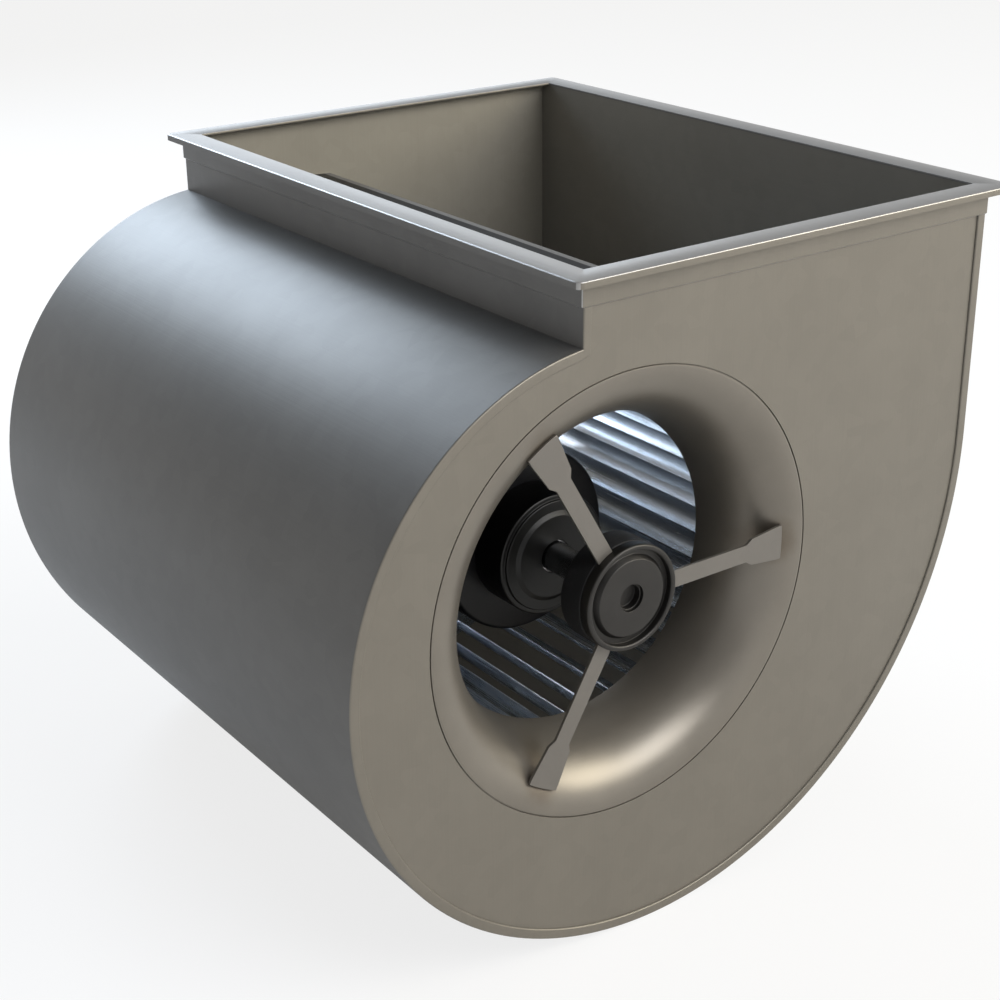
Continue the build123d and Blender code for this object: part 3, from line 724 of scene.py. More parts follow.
def blocks(name, boxes):
    """Plain blocks as one piece. Each is given as two values of X, two of Y and two of Z."""
    vertices = []
    faces = []
    for across, along, up in boxes:
        base = len(vertices)
        vertices += [(x, y, z) for x in across for y in along for z in up]
        faces += [tuple(base + k for k in quad) for quad in BLOCK_FACES]
    return add_piece(name, vertices, faces)


def loop_faces(loops, points):
    """Quads between closed loops of points, from each loop to the next and from the last to the first."""
    faces = []
    for loop in range(loops):
        here = loop * points
        there = (loop + 1) % loops * points
        for k in range(points):
            after = (k + 1) % points
            faces.append((here + k, here + after, there + after, there + k))
    return faces


def revolved(name, corners, side, segments):
    """A section with (radius, depth, rounding) corners turned round the axle, as a closed piece."""
    section = rounded(corners)
    vertices = []
    for i in range(segments):
        turn = 2 * math.pi * i / segments
        for radius, depth in section:
            x = AXLE_X + radius * math.cos(turn)
            z = AXLE_Z + radius * math.sin(turn)
            vertices.append((x, side * (depth - PLATE_FACE), z))
    return add_piece(name, vertices, loop_faces(segments, len(section)))


def turned_piece(name, node, slot, corners, side=FRONT, segments=128):
    """A section turned round the axle, dressed and placed on its body in place of a CAD node."""
    body, finish, smooth = TURNED[slot]
    piece = dress(revolved(name, corners, side, segments), finish, smooth)
    place_piece(piece, body, slot, node)


def turned_pair(name, node, slot, corners, segments=128):
    """The same turned piece on the front and on the rear side."""
    for end, side in SIDES:
        turned_piece(f"{name}_{end}", f"{node}_{end}", slot, corners, side, segments)


def draw_outline(drawing, outline):
    """Adds a closed outline of (x, y) points to a curve."""
    spline = drawing.splines.new("POLY")
    spline.points.add(len(outline) - 1)
    for point, (x, y) in zip(spline.points, outline):
        point.co = (x, y, 0, 1)
    spline.use_cyclic_u = True


def flat_piece(name, outlines, depth, sheet, side):
    """Sheet cut to (x, z) outlines about the axle, from a depth inwards. Inner outlines are holes."""
    drawing = bpy.data.curves.new(name, "CURVE")
    drawing.dimensions = "2D"
    drawing.fill_mode = "BOTH"
    drawing.extrude = sheet / 2
    for outline in outlines:
        draw_outline(drawing, outline)
    drawn = bpy.data.objects.new(name, drawing)
    bpy.context.scene.collection.objects.link(drawn)
    bpy.context.view_layer.update()
    mesh = bpy.data.meshes.new_from_object(drawn.evaluated_get(bpy.context.evaluated_depsgraph_get()))
    bpy.data.objects.remove(drawn)
    middle = side * (depth + sheet / 2 - PLATE_FACE)
    mesh.transform(Matrix(((1, 0, 0, AXLE_X), (0, 0, 1, middle), (0, 1, 0, AXLE_Z), (0, 0, 0, 1))))
    vertices = [v.co.copy() for v in mesh.vertices]
    faces = [tuple(p.vertices) for p in mesh.polygons]
    bpy.data.meshes.remove(mesh)
    return add_piece(name, vertices, faces)


def spiral_place(turn, inset=0.0):
    """X and Z of the spiral about the axle, moved in square to it."""
    sizes = bpy.context.scene.blower_scroll
    radius = sizes.top_radius * math.exp(math.tan(sizes.growth) * (turn - math.pi / 2))
    square = turn - sizes.growth
    return (
        sizes.centre_x + radius * math.cos(turn) - inset * math.cos(square),
        sizes.centre_z + radius * math.sin(turn) - inset * math.sin(square),
    )


def neck():
    """X of the neck's left and right outer faces, and Z of its top, about the axle."""
    sizes = bpy.context.scene.blower_scroll
    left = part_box("cutoff_plate")[0].x - sizes.sheet - AXLE_X
    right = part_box("scroll_wrapper")[1].x - AXLE_X
    return left, right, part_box("side_plate_front")[1].z - AXLE_Z


def spiral_start(inset=0.0):
    """Angle at which the spiral leaves the neck's left face."""
    left = neck()[0]
    low, high = math.radians(90), math.radians(150)
    for _ in range(50):
        middle = (low + high) / 2
        if spiral_place(middle, inset)[0] > left + inset:
            low = middle
        else:
            high = middle
    return low


class SidePlates(bpy.types.Operator):
    """Makes both side plates, each with its round hole"""

    bl_idname = "blower.side_plates"
    bl_label = "Side Plates"

    def execute(self, context):
        sizes = context.scene.blower_scroll
        inlet = context.scene.blower_inlet
        inset = sizes.sheet + sizes.edge_gap
        left, right, top = neck()
        start = spiral_start(inset)
        end = 2 * math.pi + sizes.growth
        outline = [(left + inset, top)]
        for i in range(sizes.steps + 1):
            outline.append(spiral_place(start + (end - start) * i / sizes.steps, inset))
        outline.append((right - inset, top))
        hole = arc(inlet.rim_radius + inlet.groove, 0.0, 2 * math.pi, steps=144)[:-1]
        for name, side in SIDES:
            plate = flat_piece(f"side_sheet_{name}", (outline, hole), 0.0, sizes.sheet, side)
            round_edges(plate, sizes.plate_edge)
            dress(plate, "plate", smooth=20.0)
            for face in plate.data.polygons:
                face.use_smooth = abs(face.normal.y) < FLAT
            # Faces inside the housing take a lighter copy of the sheet: painted light.
            dress_faces(plate, "plate_inside", lambda face: face.normal.y * side > LEANING)
            place_piece(plate, "housing", "side_sheet", f"side_plate_{name}")
        return {"FINISHED"}


def start_tree(name, inputs):
    """A Geometry Nodes tree with named inputs, as its graph and a wire from each input."""
    tree = bpy.data.node_groups.new(name, "GeometryNodeTree")
    tree.interface.new_socket("Geometry", in_out="OUTPUT", socket_type="NodeSocketGeometry")
    for label, kind in inputs.items():
        tree.interface.new_socket(label, in_out="INPUT", socket_type=f"NodeSocket{kind}")
    graph = Graph(tree)
    return graph, {s.name: Wire(graph, s) for s in tree.nodes.new("NodeGroupInput").outputs}


def end_tree(graph, geometry, material):
    """Ends a tree with a real mesh and its material."""
    real = graph.node("GeometryNodeRealizeInstances", inputs={"Geometry": geometry})
    coated = graph.node("GeometryNodeSetMaterial", inputs={"Geometry": real, "Material": material})
    graph.node("NodeGroupOutput", inputs={"Geometry": coated})
    return graph.tree


def scroll_tree():
    """Node tree that sweeps the wrapper's folded section along a path round the neck and the spiral."""
    names = ("Top Radius", "Growth", "Centre X", "Centre Z", "Start", "End", "Left", "Right", "Top", "Steps")
    graph, given = start_tree(
        "spiral_wrapper", {**dict.fromkeys(names, "Float"), "Section": "Object", "Material": "Material"}
    )
    index = graph.node("GeometryNodeInputIndex")
    share = (index - 1.0) / given["Steps"]
    turn = given["Start"] + share * (given["End"] - given["Start"])
    slope = given["Growth"].math("TANGENT", given["Growth"])
    reach = given["Top Radius"] * math.e ** (slope * (turn - math.pi / 2))
    first = index < 0.5
    last = index > given["Steps"] + 1.5
    along = 1.0 - first - last
    x = along * (given["Centre X"] + reach * turn.cos()) + first * given["Left"] + last * given["Right"]
    z = along * (given["Centre Z"] + reach * turn.sin()) + (first + last) * given["Top"]
    place = graph.node("ShaderNodeCombineXYZ", inputs={"X": x + AXLE_X, "Y": 0.0, "Z": z + AXLE_Z})
    line = graph.node("GeometryNodeMeshLine", {"mode": "OFFSET"}, {"Count": given["Steps"] + 3.0})
    bent = graph.node("GeometryNodeSetPosition", inputs={"Geometry": line, "Position": place})
    path = graph.node("GeometryNodeMeshToCurve", inputs={"Mesh": bent})
    steady = graph.node("GeometryNodeSetCurveNormal", {"mode": "FREE"}, {"Curve": path, "Normal": (0, 1, 0)})
    section = graph.node("GeometryNodeObjectInfo", inputs={"Object": given["Section"]}, output="Geometry")
    sheet = graph.node(
        "GeometryNodeCurveToMesh", inputs={"Curve": steady, "Profile Curve": section, "Fill Caps": True}
    )
    return end_tree(graph, sheet, given["Material"])


def tree_piece(name, tree, values):
    """A piece made by a node tree, turned into a plain mesh."""
    piece = bpy.data.objects.new(name, bpy.data.meshes.new(name))
    bpy.context.scene.collection.objects.link(piece)
    modifier = piece.modifiers.new(tree.name, "NODES")
    modifier.node_group = tree
    for item in tree.interface.items_tree:
        if item.in_out == "INPUT" and item.name in values:
            modifier[item.identifier] = values[item.name]
    piece.update_tag()
    return bake_modifiers(piece)


class ScrollWrapper(bpy.types.Operator):
    """Makes the sheet round the spiral, folded over the side plates' edges"""

    bl_idname = "blower.scroll_wrapper"
    bl_label = "Scroll Wrapper"

    def execute(self, context):
        sizes = context.scene.blower_scroll
        collar_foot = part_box("outlet_flange")[0].z - AXLE_Z
        left, right, top = neck()
        inner = PLATE_FACE + sizes.seam_gap
        outer = inner + sizes.sheet
        bend = sizes.bend_radius
        corners = [
            (-outer, 0, bend),
            (outer, 0, bend),
            (outer, sizes.seam_width, sizes.seam_edge),
            (inner, sizes.seam_width, 0),
            (inner, sizes.sheet, 0),
            (-inner, sizes.sheet, 0),
            (-inner, sizes.seam_width, 0),
            (-outer, sizes.seam_width, sizes.seam_edge),
        ]
        drawing = bpy.data.curves.new("wrapper_section", "CURVE")
        draw_outline(drawing, rounded(corners))
        section = bpy.data.objects.new("wrapper_section", drawing)
        context.scene.collection.objects.link(section)
        wrapper = tree_piece(
            "spiral_sheet",
            scroll_tree(),
            {
                "Top Radius": sizes.top_radius,
                "Growth": sizes.growth,
                "Centre X": sizes.centre_x,
                "Centre Z": sizes.centre_z,
                "Start": spiral_start(),
                "End": 2 * math.pi + sizes.growth,
                "Left": left,
                "Right": right,
                "Top": top,
                "Steps": float(sizes.steps),
                "Section": section,
                "Material": finish_named("wrapper"),
            },
        )
        bpy.data.objects.remove(section)
        cut(wrapper, self.fold_cutter(left, right, collar_foot, top, outer))
        # The wrapper's sheet takes a darker copy of the plates' colour: painted shade.
        dress(wrapper, "wrapper", smooth=25.0)
        axle = Vector((AXLE_X, 0, AXLE_Z))
        # Faces inside the housing take a lighter copy: painted light.
        dress_faces(
            wrapper,
            "wrapper_inside",
            lambda face: abs(face.normal.y) < LEANING and face.normal.dot(face.center - axle) < 0,
        )
        dress_faces(wrapper, "plate", lambda face: abs(face.normal.y) > LEANING)
        # The neck's left face takes the darker collar copy: painted shade.
        neck_foot = AXLE_Z + spiral_place(spiral_start())[1]
        dress_faces(
            wrapper,
            "collar",
            lambda face: face.normal.x < -FLAT and face.center.x < AXLE_X and face.center.z > neck_foot,
        )
        place_piece(wrapper, "housing", "wrapper_sheet", "scroll_wrapper")
        return {"FINISHED"}

    def fold_cutter(self, left, right, foot, top, outer):
        """Two blocks that take the folded edges off the neck, where the collar laps it."""
        sizes = bpy.context.scene.blower_scroll
        reach = sizes.seam_width * 2
        across = (AXLE_X + left - reach, AXLE_X + right + reach)
        up = (AXLE_Z + foot, AXLE_Z + top + reach)
        folds = (PLATE_FACE + sizes.edge_gap, outer + reach)
        spans = [sorted(side * fold for fold in folds) for side in (FRONT, REAR)]
        return blocks("fold_cutter", [(across, along, up) for along in spans])


class OutletFlange(bpy.types.Operator):
    """Makes the flange: flat band, turned-down rim and collar"""

    bl_idname = "blower.outlet_flange"
    bl_label = "Outlet Flange"

    def execute(self, context):
        sizes = context.scene.blower_flange
        low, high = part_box("outlet_flange")
        half_width, half_length = high.x, high.y
        left, right, _ = neck()
        collar_left = left + AXLE_X - sizes.collar_gap
        collar_right = right + AXLE_X + sizes.collar_gap
        collar_middle = (collar_left + collar_right) / 2
        collar_half = (collar_right - collar_left) / 2
        mouth = (half_width - sizes.band, half_length - sizes.band)
        outside = (half_width, half_length)
        collar = (collar_half, PLATE_FACE + sizes.collar_gap)
        edge = sizes.mouth_radius
        bend = sizes.bend_radius
        sheet = sizes.sheet
        corner = sizes.corner_radius
        small = edge * 2
        loops = [
            (mouth, 0, small, -edge, 0.0),
            (mouth, edge * 0.3, small, -edge * 0.3, 0.0),
            (mouth, edge, small, 0.0, 0.0),
        ]
        bend_steps = 4
        for step in range(bend_steps + 1):
            turn = math.pi / 2 * step / bend_steps
            drawn_in = bend * (1 - math.sin(turn))
            loops.append((outside, -drawn_in, corner - drawn_in, -bend * (1 - math.cos(turn)), 0.0))
        loops += [
            (outside, 0, corner, -sizes.rim_height, 0.0),
            (outside, -sheet, corner - sheet, -sizes.rim_height, 0.0),
            (outside, -sheet, corner - sheet, -sheet, 0.0),
            (collar, sheet, sheet, -sheet, collar_middle),
            (collar, sheet, sheet, low.z + edge, collar_middle),
            (collar, sheet - edge, sheet, low.z, collar_middle),
            (collar, 0, edge, low.z, collar_middle),
            (collar, 0, edge, -sheet, collar_middle),
            (mouth, 0, small, -sheet, 0.0),
        ]
        flange = self.stacked(loops)
        # The flange's level faces take a lighter copy of the sheet: painted light.
        dress(flange, "flange", smooth=28.0)
        dress_faces(flange, "plate", lambda face: abs(face.normal.y) > NEARLY_FLAT)
        # Faces to the left and right take the darker collar copy: painted shade.
        dress_faces(flange, "collar", lambda face: abs(face.normal.x) > NEARLY_FLAT)
        place_piece(flange, "housing", "flange_sheet", "outlet_flange")
        return {"FINISHED"}

    def stacked(self, loops, corner_steps=6):
        """Closed piece through rounded rectangles of (halves, growth, radius, Z, middle X)."""
        vertices = []
        for half, growth, radius, z, middle in loops:
            half_x, half_y = half[0] + growth, half[1] + growth
            for corner in range(4):
                sx = 1 if corner in (0, 3) else -1
                sy = 1 if corner in (0, 1) else -1
                for step in range(corner_steps + 1):
                    turn = math.pi / 2 * (corner + step / corner_steps)
                    x = middle + sx * (half_x - radius) + radius * math.cos(turn)
                    vertices.append((x, sy * (half_y - radius) + radius * math.sin(turn), z))
        return add_piece("flange_sheet", vertices, loop_faces(len(loops), 4 * (corner_steps + 1)))


class InletBells(bpy.types.Operator):
    """Makes both inlet bells"""

    bl_idname = "blower.inlet_bells"
    bl_label = "Inlet Bells"

    def execute(self, context):
        sizes = context.scene.blower_inlet
        plate = context.scene.blower_scroll
        lap_depth = plate.sheet + plate.edge_gap
        steps = 40
        nose = 0.0004
        section = self.curve(sizes, 0.0, steps, range(steps + 1))
        section[-1] = (sizes.rim_radius - nose, section[-1][1], 0)
        section += [
            (sizes.rim_radius - nose / 4, nose / 4, 0),
            (sizes.rim_radius, nose, 0),
            (sizes.rim_radius, lap_depth, 0),
            (sizes.rim_radius + sizes.lap, lap_depth, 0),
            (sizes.rim_radius + sizes.lap, lap_depth + sizes.sheet, 0),
            (sizes.rim_radius - sizes.joggle, lap_depth + sizes.sheet, 0),
            (sizes.rim_radius - sizes.joggle, sizes.sheet, 0),
        ]
        section += self.curve(sizes, sizes.sheet, steps, range(steps - 4, -1, -1))
        turned_pair("bell_sheet", "inlet_bell", "side_sheet", section, segments=192)
        return {"FINISHED"}

    def curve(self, sizes, inset, steps, chosen):
        """Corners along the quarter of an ellipse from the throat to the rim, moved in by an inset."""
        reach = sizes.rim_radius - sizes.throat_radius
        points = []
        for step in chosen:
            turn = math.pi / 2 * step / steps
            radius = sizes.rim_radius - (reach - inset) * math.cos(turn)
            points.append((radius, sizes.depth - (sizes.depth - inset) * math.sin(turn), 0))
        return points


class Arms(bpy.types.Operator):
    """Makes the flat arms that carry the hubs"""

    bl_idname = "blower.arms"
    bl_label = "Arms"

    def execute(self, context):
        sizes = context.scene.blower_inlet
        hub = context.scene.blower_hub
        seat = sizes.arm_depth + sizes.arm_sheet + sizes.weld_gap
        drop = (sizes.depth - seat) / sizes.depth
        bell_reach = sizes.rim_radius - sizes.throat_radius
        reach = sizes.rim_radius - bell_reach * math.sqrt(1 - drop**2) - sizes.weld_gap
        foot = hub.radius + sizes.weld_gap
        half = sizes.arm_width / 2
        side_points = [
            (sizes.arm_reach, half),
            (sizes.arm_shoulder_reach, sizes.arm_shoulder_width / 2),
            (sizes.arm_flare_reach, sizes.arm_tip_width / 2),
        ]
        tip = math.asin(sizes.arm_tip_width / 2 / reach)
        foot_turn = math.asin(half / foot)
        outline = arc(foot, -foot_turn, foot_turn, steps=8) + side_points + arc(reach, tip, -tip, steps=12)
        outline += [(x, -y) for x, y in reversed(side_points)]
        for name, side in SIDES:
            for arm in range(sizes.arm_count):
                turn = 2 * math.pi * arm / sizes.arm_count
                turned = [
                    (x * math.cos(turn) - y * math.sin(turn), x * math.sin(turn) + y * math.cos(turn))
                    for x, y in outline
                ]
                strip = flat_piece(
                    f"arm_strip_{name}_{arm + 1}", (turned,), sizes.arm_depth, sizes.arm_sheet, side
                )
                round_edges(strip, CUT_EDGE)
                dress(strip, "arm", smooth=20.0)
                place_piece(strip, "housing", "arm_steel", f"arm_{name}_{arm + 1}")
        return {"FINISHED"}


class Hubs(bpy.types.Operator):
    """Makes the hub caps and the rubber bushes behind them"""

    bl_idname = "blower.hubs"
    bl_label = "Hubs"

    def execute(self, context):
        sizes = context.scene.blower_hub
        lip_inner = sizes.radius - sizes.lip_width
        foot = lip_inner - sizes.groove_width
        back = sizes.lip_depth + sizes.rim_length
        floor = sizes.lip_depth + sizes.groove_depth
        floor_back = floor + sizes.sheet
        face = sizes.lip_depth + sizes.face_recess
        face_back = face + sizes.sheet
        face_radius = foot - (floor - face) / math.tan(sizes.slope)
        bend = sizes.sheet * math.tan(sizes.slope / 2)
        inside = sizes.radius - sizes.sheet
        cap_section = [
            (sizes.hole_radius, face, CUT_EDGE),
            (face_radius, face, BEND_EDGE),
            (foot, floor, BEND_EDGE),
            (lip_inner, floor, CUT_EDGE),
            (lip_inner, sizes.lip_depth, sizes.edge_radius),
            (sizes.radius, sizes.lip_depth, sizes.edge_radius),
            (sizes.radius, back, CUT_EDGE),
            (inside, back, CUT_EDGE),
            (inside, floor_back, 0),
            (foot - bend, floor_back, 0),
            (face_radius - bend, face_back, 0),
            (sizes.hole_radius, face_back, 0),
        ]
        gap = sizes.rubber_gap
        bore = sizes.sleeve_radius + gap
        nose = face_radius - bend - gap
        rubber_section = [
            (bore, face_back + gap, 0),
            (nose, face_back + gap, RIM_EDGE),
            (nose, floor_back + gap, 0),
            (inside - gap, floor_back + gap, CUT_EDGE),
            (inside - gap, back + gap, 0),
            (sizes.rubber_radius, back + gap, sizes.rubber_shoulder),
            (sizes.rubber_radius, sizes.rubber_depth, sizes.rubber_end),
            (bore, sizes.rubber_depth, BEND_EDGE),
        ]
        for name, side in SIDES:
            turned_piece(f"cap_pressing_{name}", f"hub_cap_{name}", "hub_metal", cap_section, side)
            turned_piece(
                f"rubber_mount_{name}", f"rubber_bush_{name}", "rubber", rubber_section, side, segments=96
            )
        return {"FINISHED"}


class AxleShaft(bpy.types.Operator):
    """Makes the axle, with its recessed ends, clip grooves and the channel for the leads"""

    bl_idname = "blower.axle_shaft"
    bl_label = "Axle"

    def execute(self, context):
        sizes = context.scene.blower_hub
        motor = context.scene.blower_motor
        front = sizes.lip_depth + sizes.face_recess + sizes.sheet + sizes.rubber_gap
        clip = sizes.sleeve_depth + sizes.fit
        clip_end = clip + sizes.clip_sheet + 2 * sizes.fit
        groove = sizes.axle_radius - sizes.clip_groove_depth
        bearing = motor.dish_depth - motor.step_height - motor.boss_height + motor.wall
        shoulder = bearing + motor.bearing_width + sizes.fit
        seat = PLATE_FACE - sizes.stator_seat_half
        half_section = [
            (0.0, front + sizes.axle_recess_depth, 0),
            (sizes.axle_recess_radius, front + sizes.axle_recess_depth, RIM_EDGE),
            (sizes.axle_recess_radius, front, RIM_EDGE),
            (sizes.axle_radius, front, CORNER_EDGE),
            (sizes.axle_radius, clip, 0),
            (groove, clip, 0),
            (groove, clip_end, 0),
            (sizes.axle_radius, clip_end, 0),
            (sizes.axle_radius, shoulder, 0),
            (sizes.axle_shoulder_radius, shoulder, CORNER_EDGE),
            (sizes.axle_shoulder_radius, seat, 0),
            (sizes.axle_stator_radius, seat, CORNER_EDGE),
        ]
        width = 2 * PLATE_FACE
        corners = half_section + [(r, width - d, rounding) for r, d, rounding in reversed(half_section)]
        shaft = revolved("axle_bar", corners, FRONT, segments=96)
        cut(shaft, self.channel_cutter(sizes, front))
        dress(shaft, "axle", smooth=35.0)
        # The axle's ends inside the hubs take the dark hub finish: painted shade in the recesses.
        dress_faces(shaft, "hub", lambda face: abs(face.center.y) > PLATE_FACE - clip)
        place_piece(shaft, "housing", "axle_steel", "axle")
        return {"FINISHED"}

    def channel_cutter(self, sizes, front):
        """Block along the top of the axle's rear end, up to the stator."""
        half = sizes.channel_width / 2
        across = (AXLE_X - half, AXLE_X + half)
        along = (sizes.stator_half, PLATE_FACE - front + sizes.channel_depth)
        floor = AXLE_Z + sizes.axle_radius - sizes.channel_depth
        roof = AXLE_Z + sizes.axle_stator_radius + sizes.channel_depth
        return blocks("channel_cutter", [(across, along, (floor, roof))])


class BearingHousings(bpy.types.Operator):
    """Makes the stepped castings that hold the bearings"""

    bl_idname = "blower.bearing_housings"
    bl_label = "Bearing Housings"

    def execute(self, context):
        sizes = context.scene.blower_motor
        hub = context.scene.blower_hub
        rim_inner = sizes.dish_radius - sizes.rim_width
        step = sizes.dish_depth - sizes.step_height
        face = step - sizes.boss_height
        back = sizes.dish_depth + sizes.wall
        bearing = face + sizes.wall
        pocket = sizes.bearing_radius + sizes.fit
        pocket_end = bearing + sizes.bearing_width + sizes.pocket_overrun
        bore = hub.axle_radius + sizes.bore_gap
        section = [
            (bore, face, CORNER_EDGE),
            (sizes.boss_radius, face, sizes.boss_bend),
            (sizes.boss_foot, step, sizes.boss_bend),
            (rim_inner, step, sizes.step_edge),
            (rim_inner, sizes.dish_depth, CORNER_EDGE),
            (sizes.dish_radius, sizes.dish_depth, sizes.edge_radius),
            (sizes.dish_radius, sizes.rotor_depth, 0),
            (rim_inner, sizes.rotor_depth, 0),
            (rim_inner, back, sizes.fillet),
            (pocket + sizes.wall, back, sizes.fillet),
            (pocket + sizes.wall, pocket_end, sizes.pocket_edge),
            (pocket, pocket_end, CUT_EDGE),
            (pocket, bearing, CUT_EDGE),
            (bore, bearing, 0),
        ]
        turned_pair("bearing_casting", "bearing_housing", "dish_metal", section)
        return {"FINISHED"}


class Rotor(bpy.types.Operator):
    """Makes the rotor's black shell and end caps"""

    bl_idname = "blower.rotor"
    bl_label = "Rotor"

    def execute(self, context):
        sizes = context.scene.blower_motor
        rim_inner = sizes.dish_radius - sizes.rim_width
        cap_end = sizes.rotor_depth + sizes.cap_sheet
        shell_inner = sizes.rotor_radius - sizes.rotor_wall
        spigot = shell_inner - sizes.fit
        cap_section = [
            (rim_inner, sizes.rotor_depth, 0),
            (sizes.rotor_radius, sizes.rotor_depth, sizes.rotor_edge),
            (sizes.rotor_radius, cap_end, sizes.seam_edge),
            (spigot, cap_end, 0),
            (spigot, cap_end + sizes.spigot, 0),
            (spigot - sizes.rotor_wall, cap_end + sizes.spigot, 0),
            (spigot - sizes.rotor_wall, cap_end, 0),
            (rim_inner, cap_end, 0),
        ]
        turned_pair("end_pressing", "rotor_end_cap", "motor_black", cap_section)
        shell_end = 2 * PLATE_FACE - cap_end
        shell_section = [
            (shell_inner, cap_end, 0),
            (sizes.rotor_radius, cap_end, CUT_EDGE),
            (sizes.rotor_radius, shell_end, CUT_EDGE),
            (shell_inner, shell_end, 0),
        ]
        turned_piece("rotor_tube", "rotor_shell", "motor_black", shell_section)
        return {"FINISHED"}


def ring_tree(name):
    """Node tree that repeats an object round the axle."""
    graph, given = start_tree(
        name, {"Copies": "Int", "Phase": "Float", "Object": "Object", "Material": "Material"}
    )
    centre = (AXLE_X, 0.0, AXLE_Z)
    points = graph.node(
        "GeometryNodeMeshLine",
        {"mode": "OFFSET"},
        {"Count": given["Copies"], "Start Location": centre, "Offset": (0.0, 0.0, 0.0)},
    )
    turn = given["Phase"] + graph.node("GeometryNodeInputIndex") * (2 * math.pi) / given["Copies"]
    spin = graph.node("ShaderNodeCombineXYZ", inputs={"X": 0.0, "Y": 0.0 - turn, "Z": 0.0})
    pattern = graph.node("GeometryNodeObjectInfo", inputs={"Object": given["Object"]}, output="Geometry")
    copies = graph.node(
        "GeometryNodeInstanceOnPoints",
        inputs={"Points": points, "Instance": pattern, "Rotation": spin},
    )
    return end_tree(graph, copies, given["Material"])


def repeated(name, pattern, copies, phase, finish):
    """A pattern object drawn about the origin, repeated round the axle as one piece."""
    tree = bpy.data.node_groups.get("round_the_axle") or ring_tree("round_the_axle")
    piece = tree_piece(
        name, tree, {"Copies": copies, "Phase": phase, "Object": pattern, "Material": finish_named(finish)}
    )
    bpy.data.objects.remove(pattern)
    return piece


class Blades(bpy.types.Operator):
    """Makes the forward-curved blades of both halves of the wheel"""

    bl_idname = "blower.blades"
    bl_label = "Blades"

    def execute(self, context):
        sizes = context.scene.blower_wheel
        inlet = context.scene.blower_inlet
        tip_x = sizes.outer_radius * math.cos(sizes.lean)
        tip_z = sizes.outer_radius * math.sin(sizes.lean)
        chord = math.hypot(tip_x - sizes.inner_radius, tip_z)
        curve = chord**2 / (2 * tip_z)
        sweep = 2 * math.atan2(tip_z, tip_x - sizes.inner_radius)
        near = sizes.disc_sheet / 2
        far = PLATE_FACE - inlet.depth - sizes.gap - sizes.ring_sheet
        steps = 10
        for name, side in SIDES:
            vertices = []
            faces = []
            for step in range(steps + 1):
                turn = -math.pi / 2 + sweep * step / steps
                for offset in (sizes.sheet / 2, -sizes.sheet / 2):
                    reach = curve + offset
                    x = sizes.inner_radius + reach * math.cos(turn)
                    z = curve + reach * math.sin(turn)
                    for y in (near, far):
                        vertices.append((x, -side * y, z))
            for step in range(steps):
                a, b = 4 * step, 4 * step + 4
                faces += [
                    (a, a + 1, b + 1, b),
                    (a + 2, a + 3, b + 3, b + 2),
                    (a, a + 2, b + 2, b),
                    (a + 1, a + 3, b + 3, b + 1),
                ]
            end = 4 * steps
            faces += [(0, 1, 3, 2), (end, end + 1, end + 3, end + 2)]
            blade = add_piece("blade_pattern", vertices, faces)
            blades = repeated(f"blade_row_{name}", blade, sizes.blade_count, sizes.phase, "wheel")
            dress(blades, "wheel", smooth=35.0)
            place_piece(blades, "wheel", "wheel_steel", f"blades_{name}")
        return {"FINISHED"}


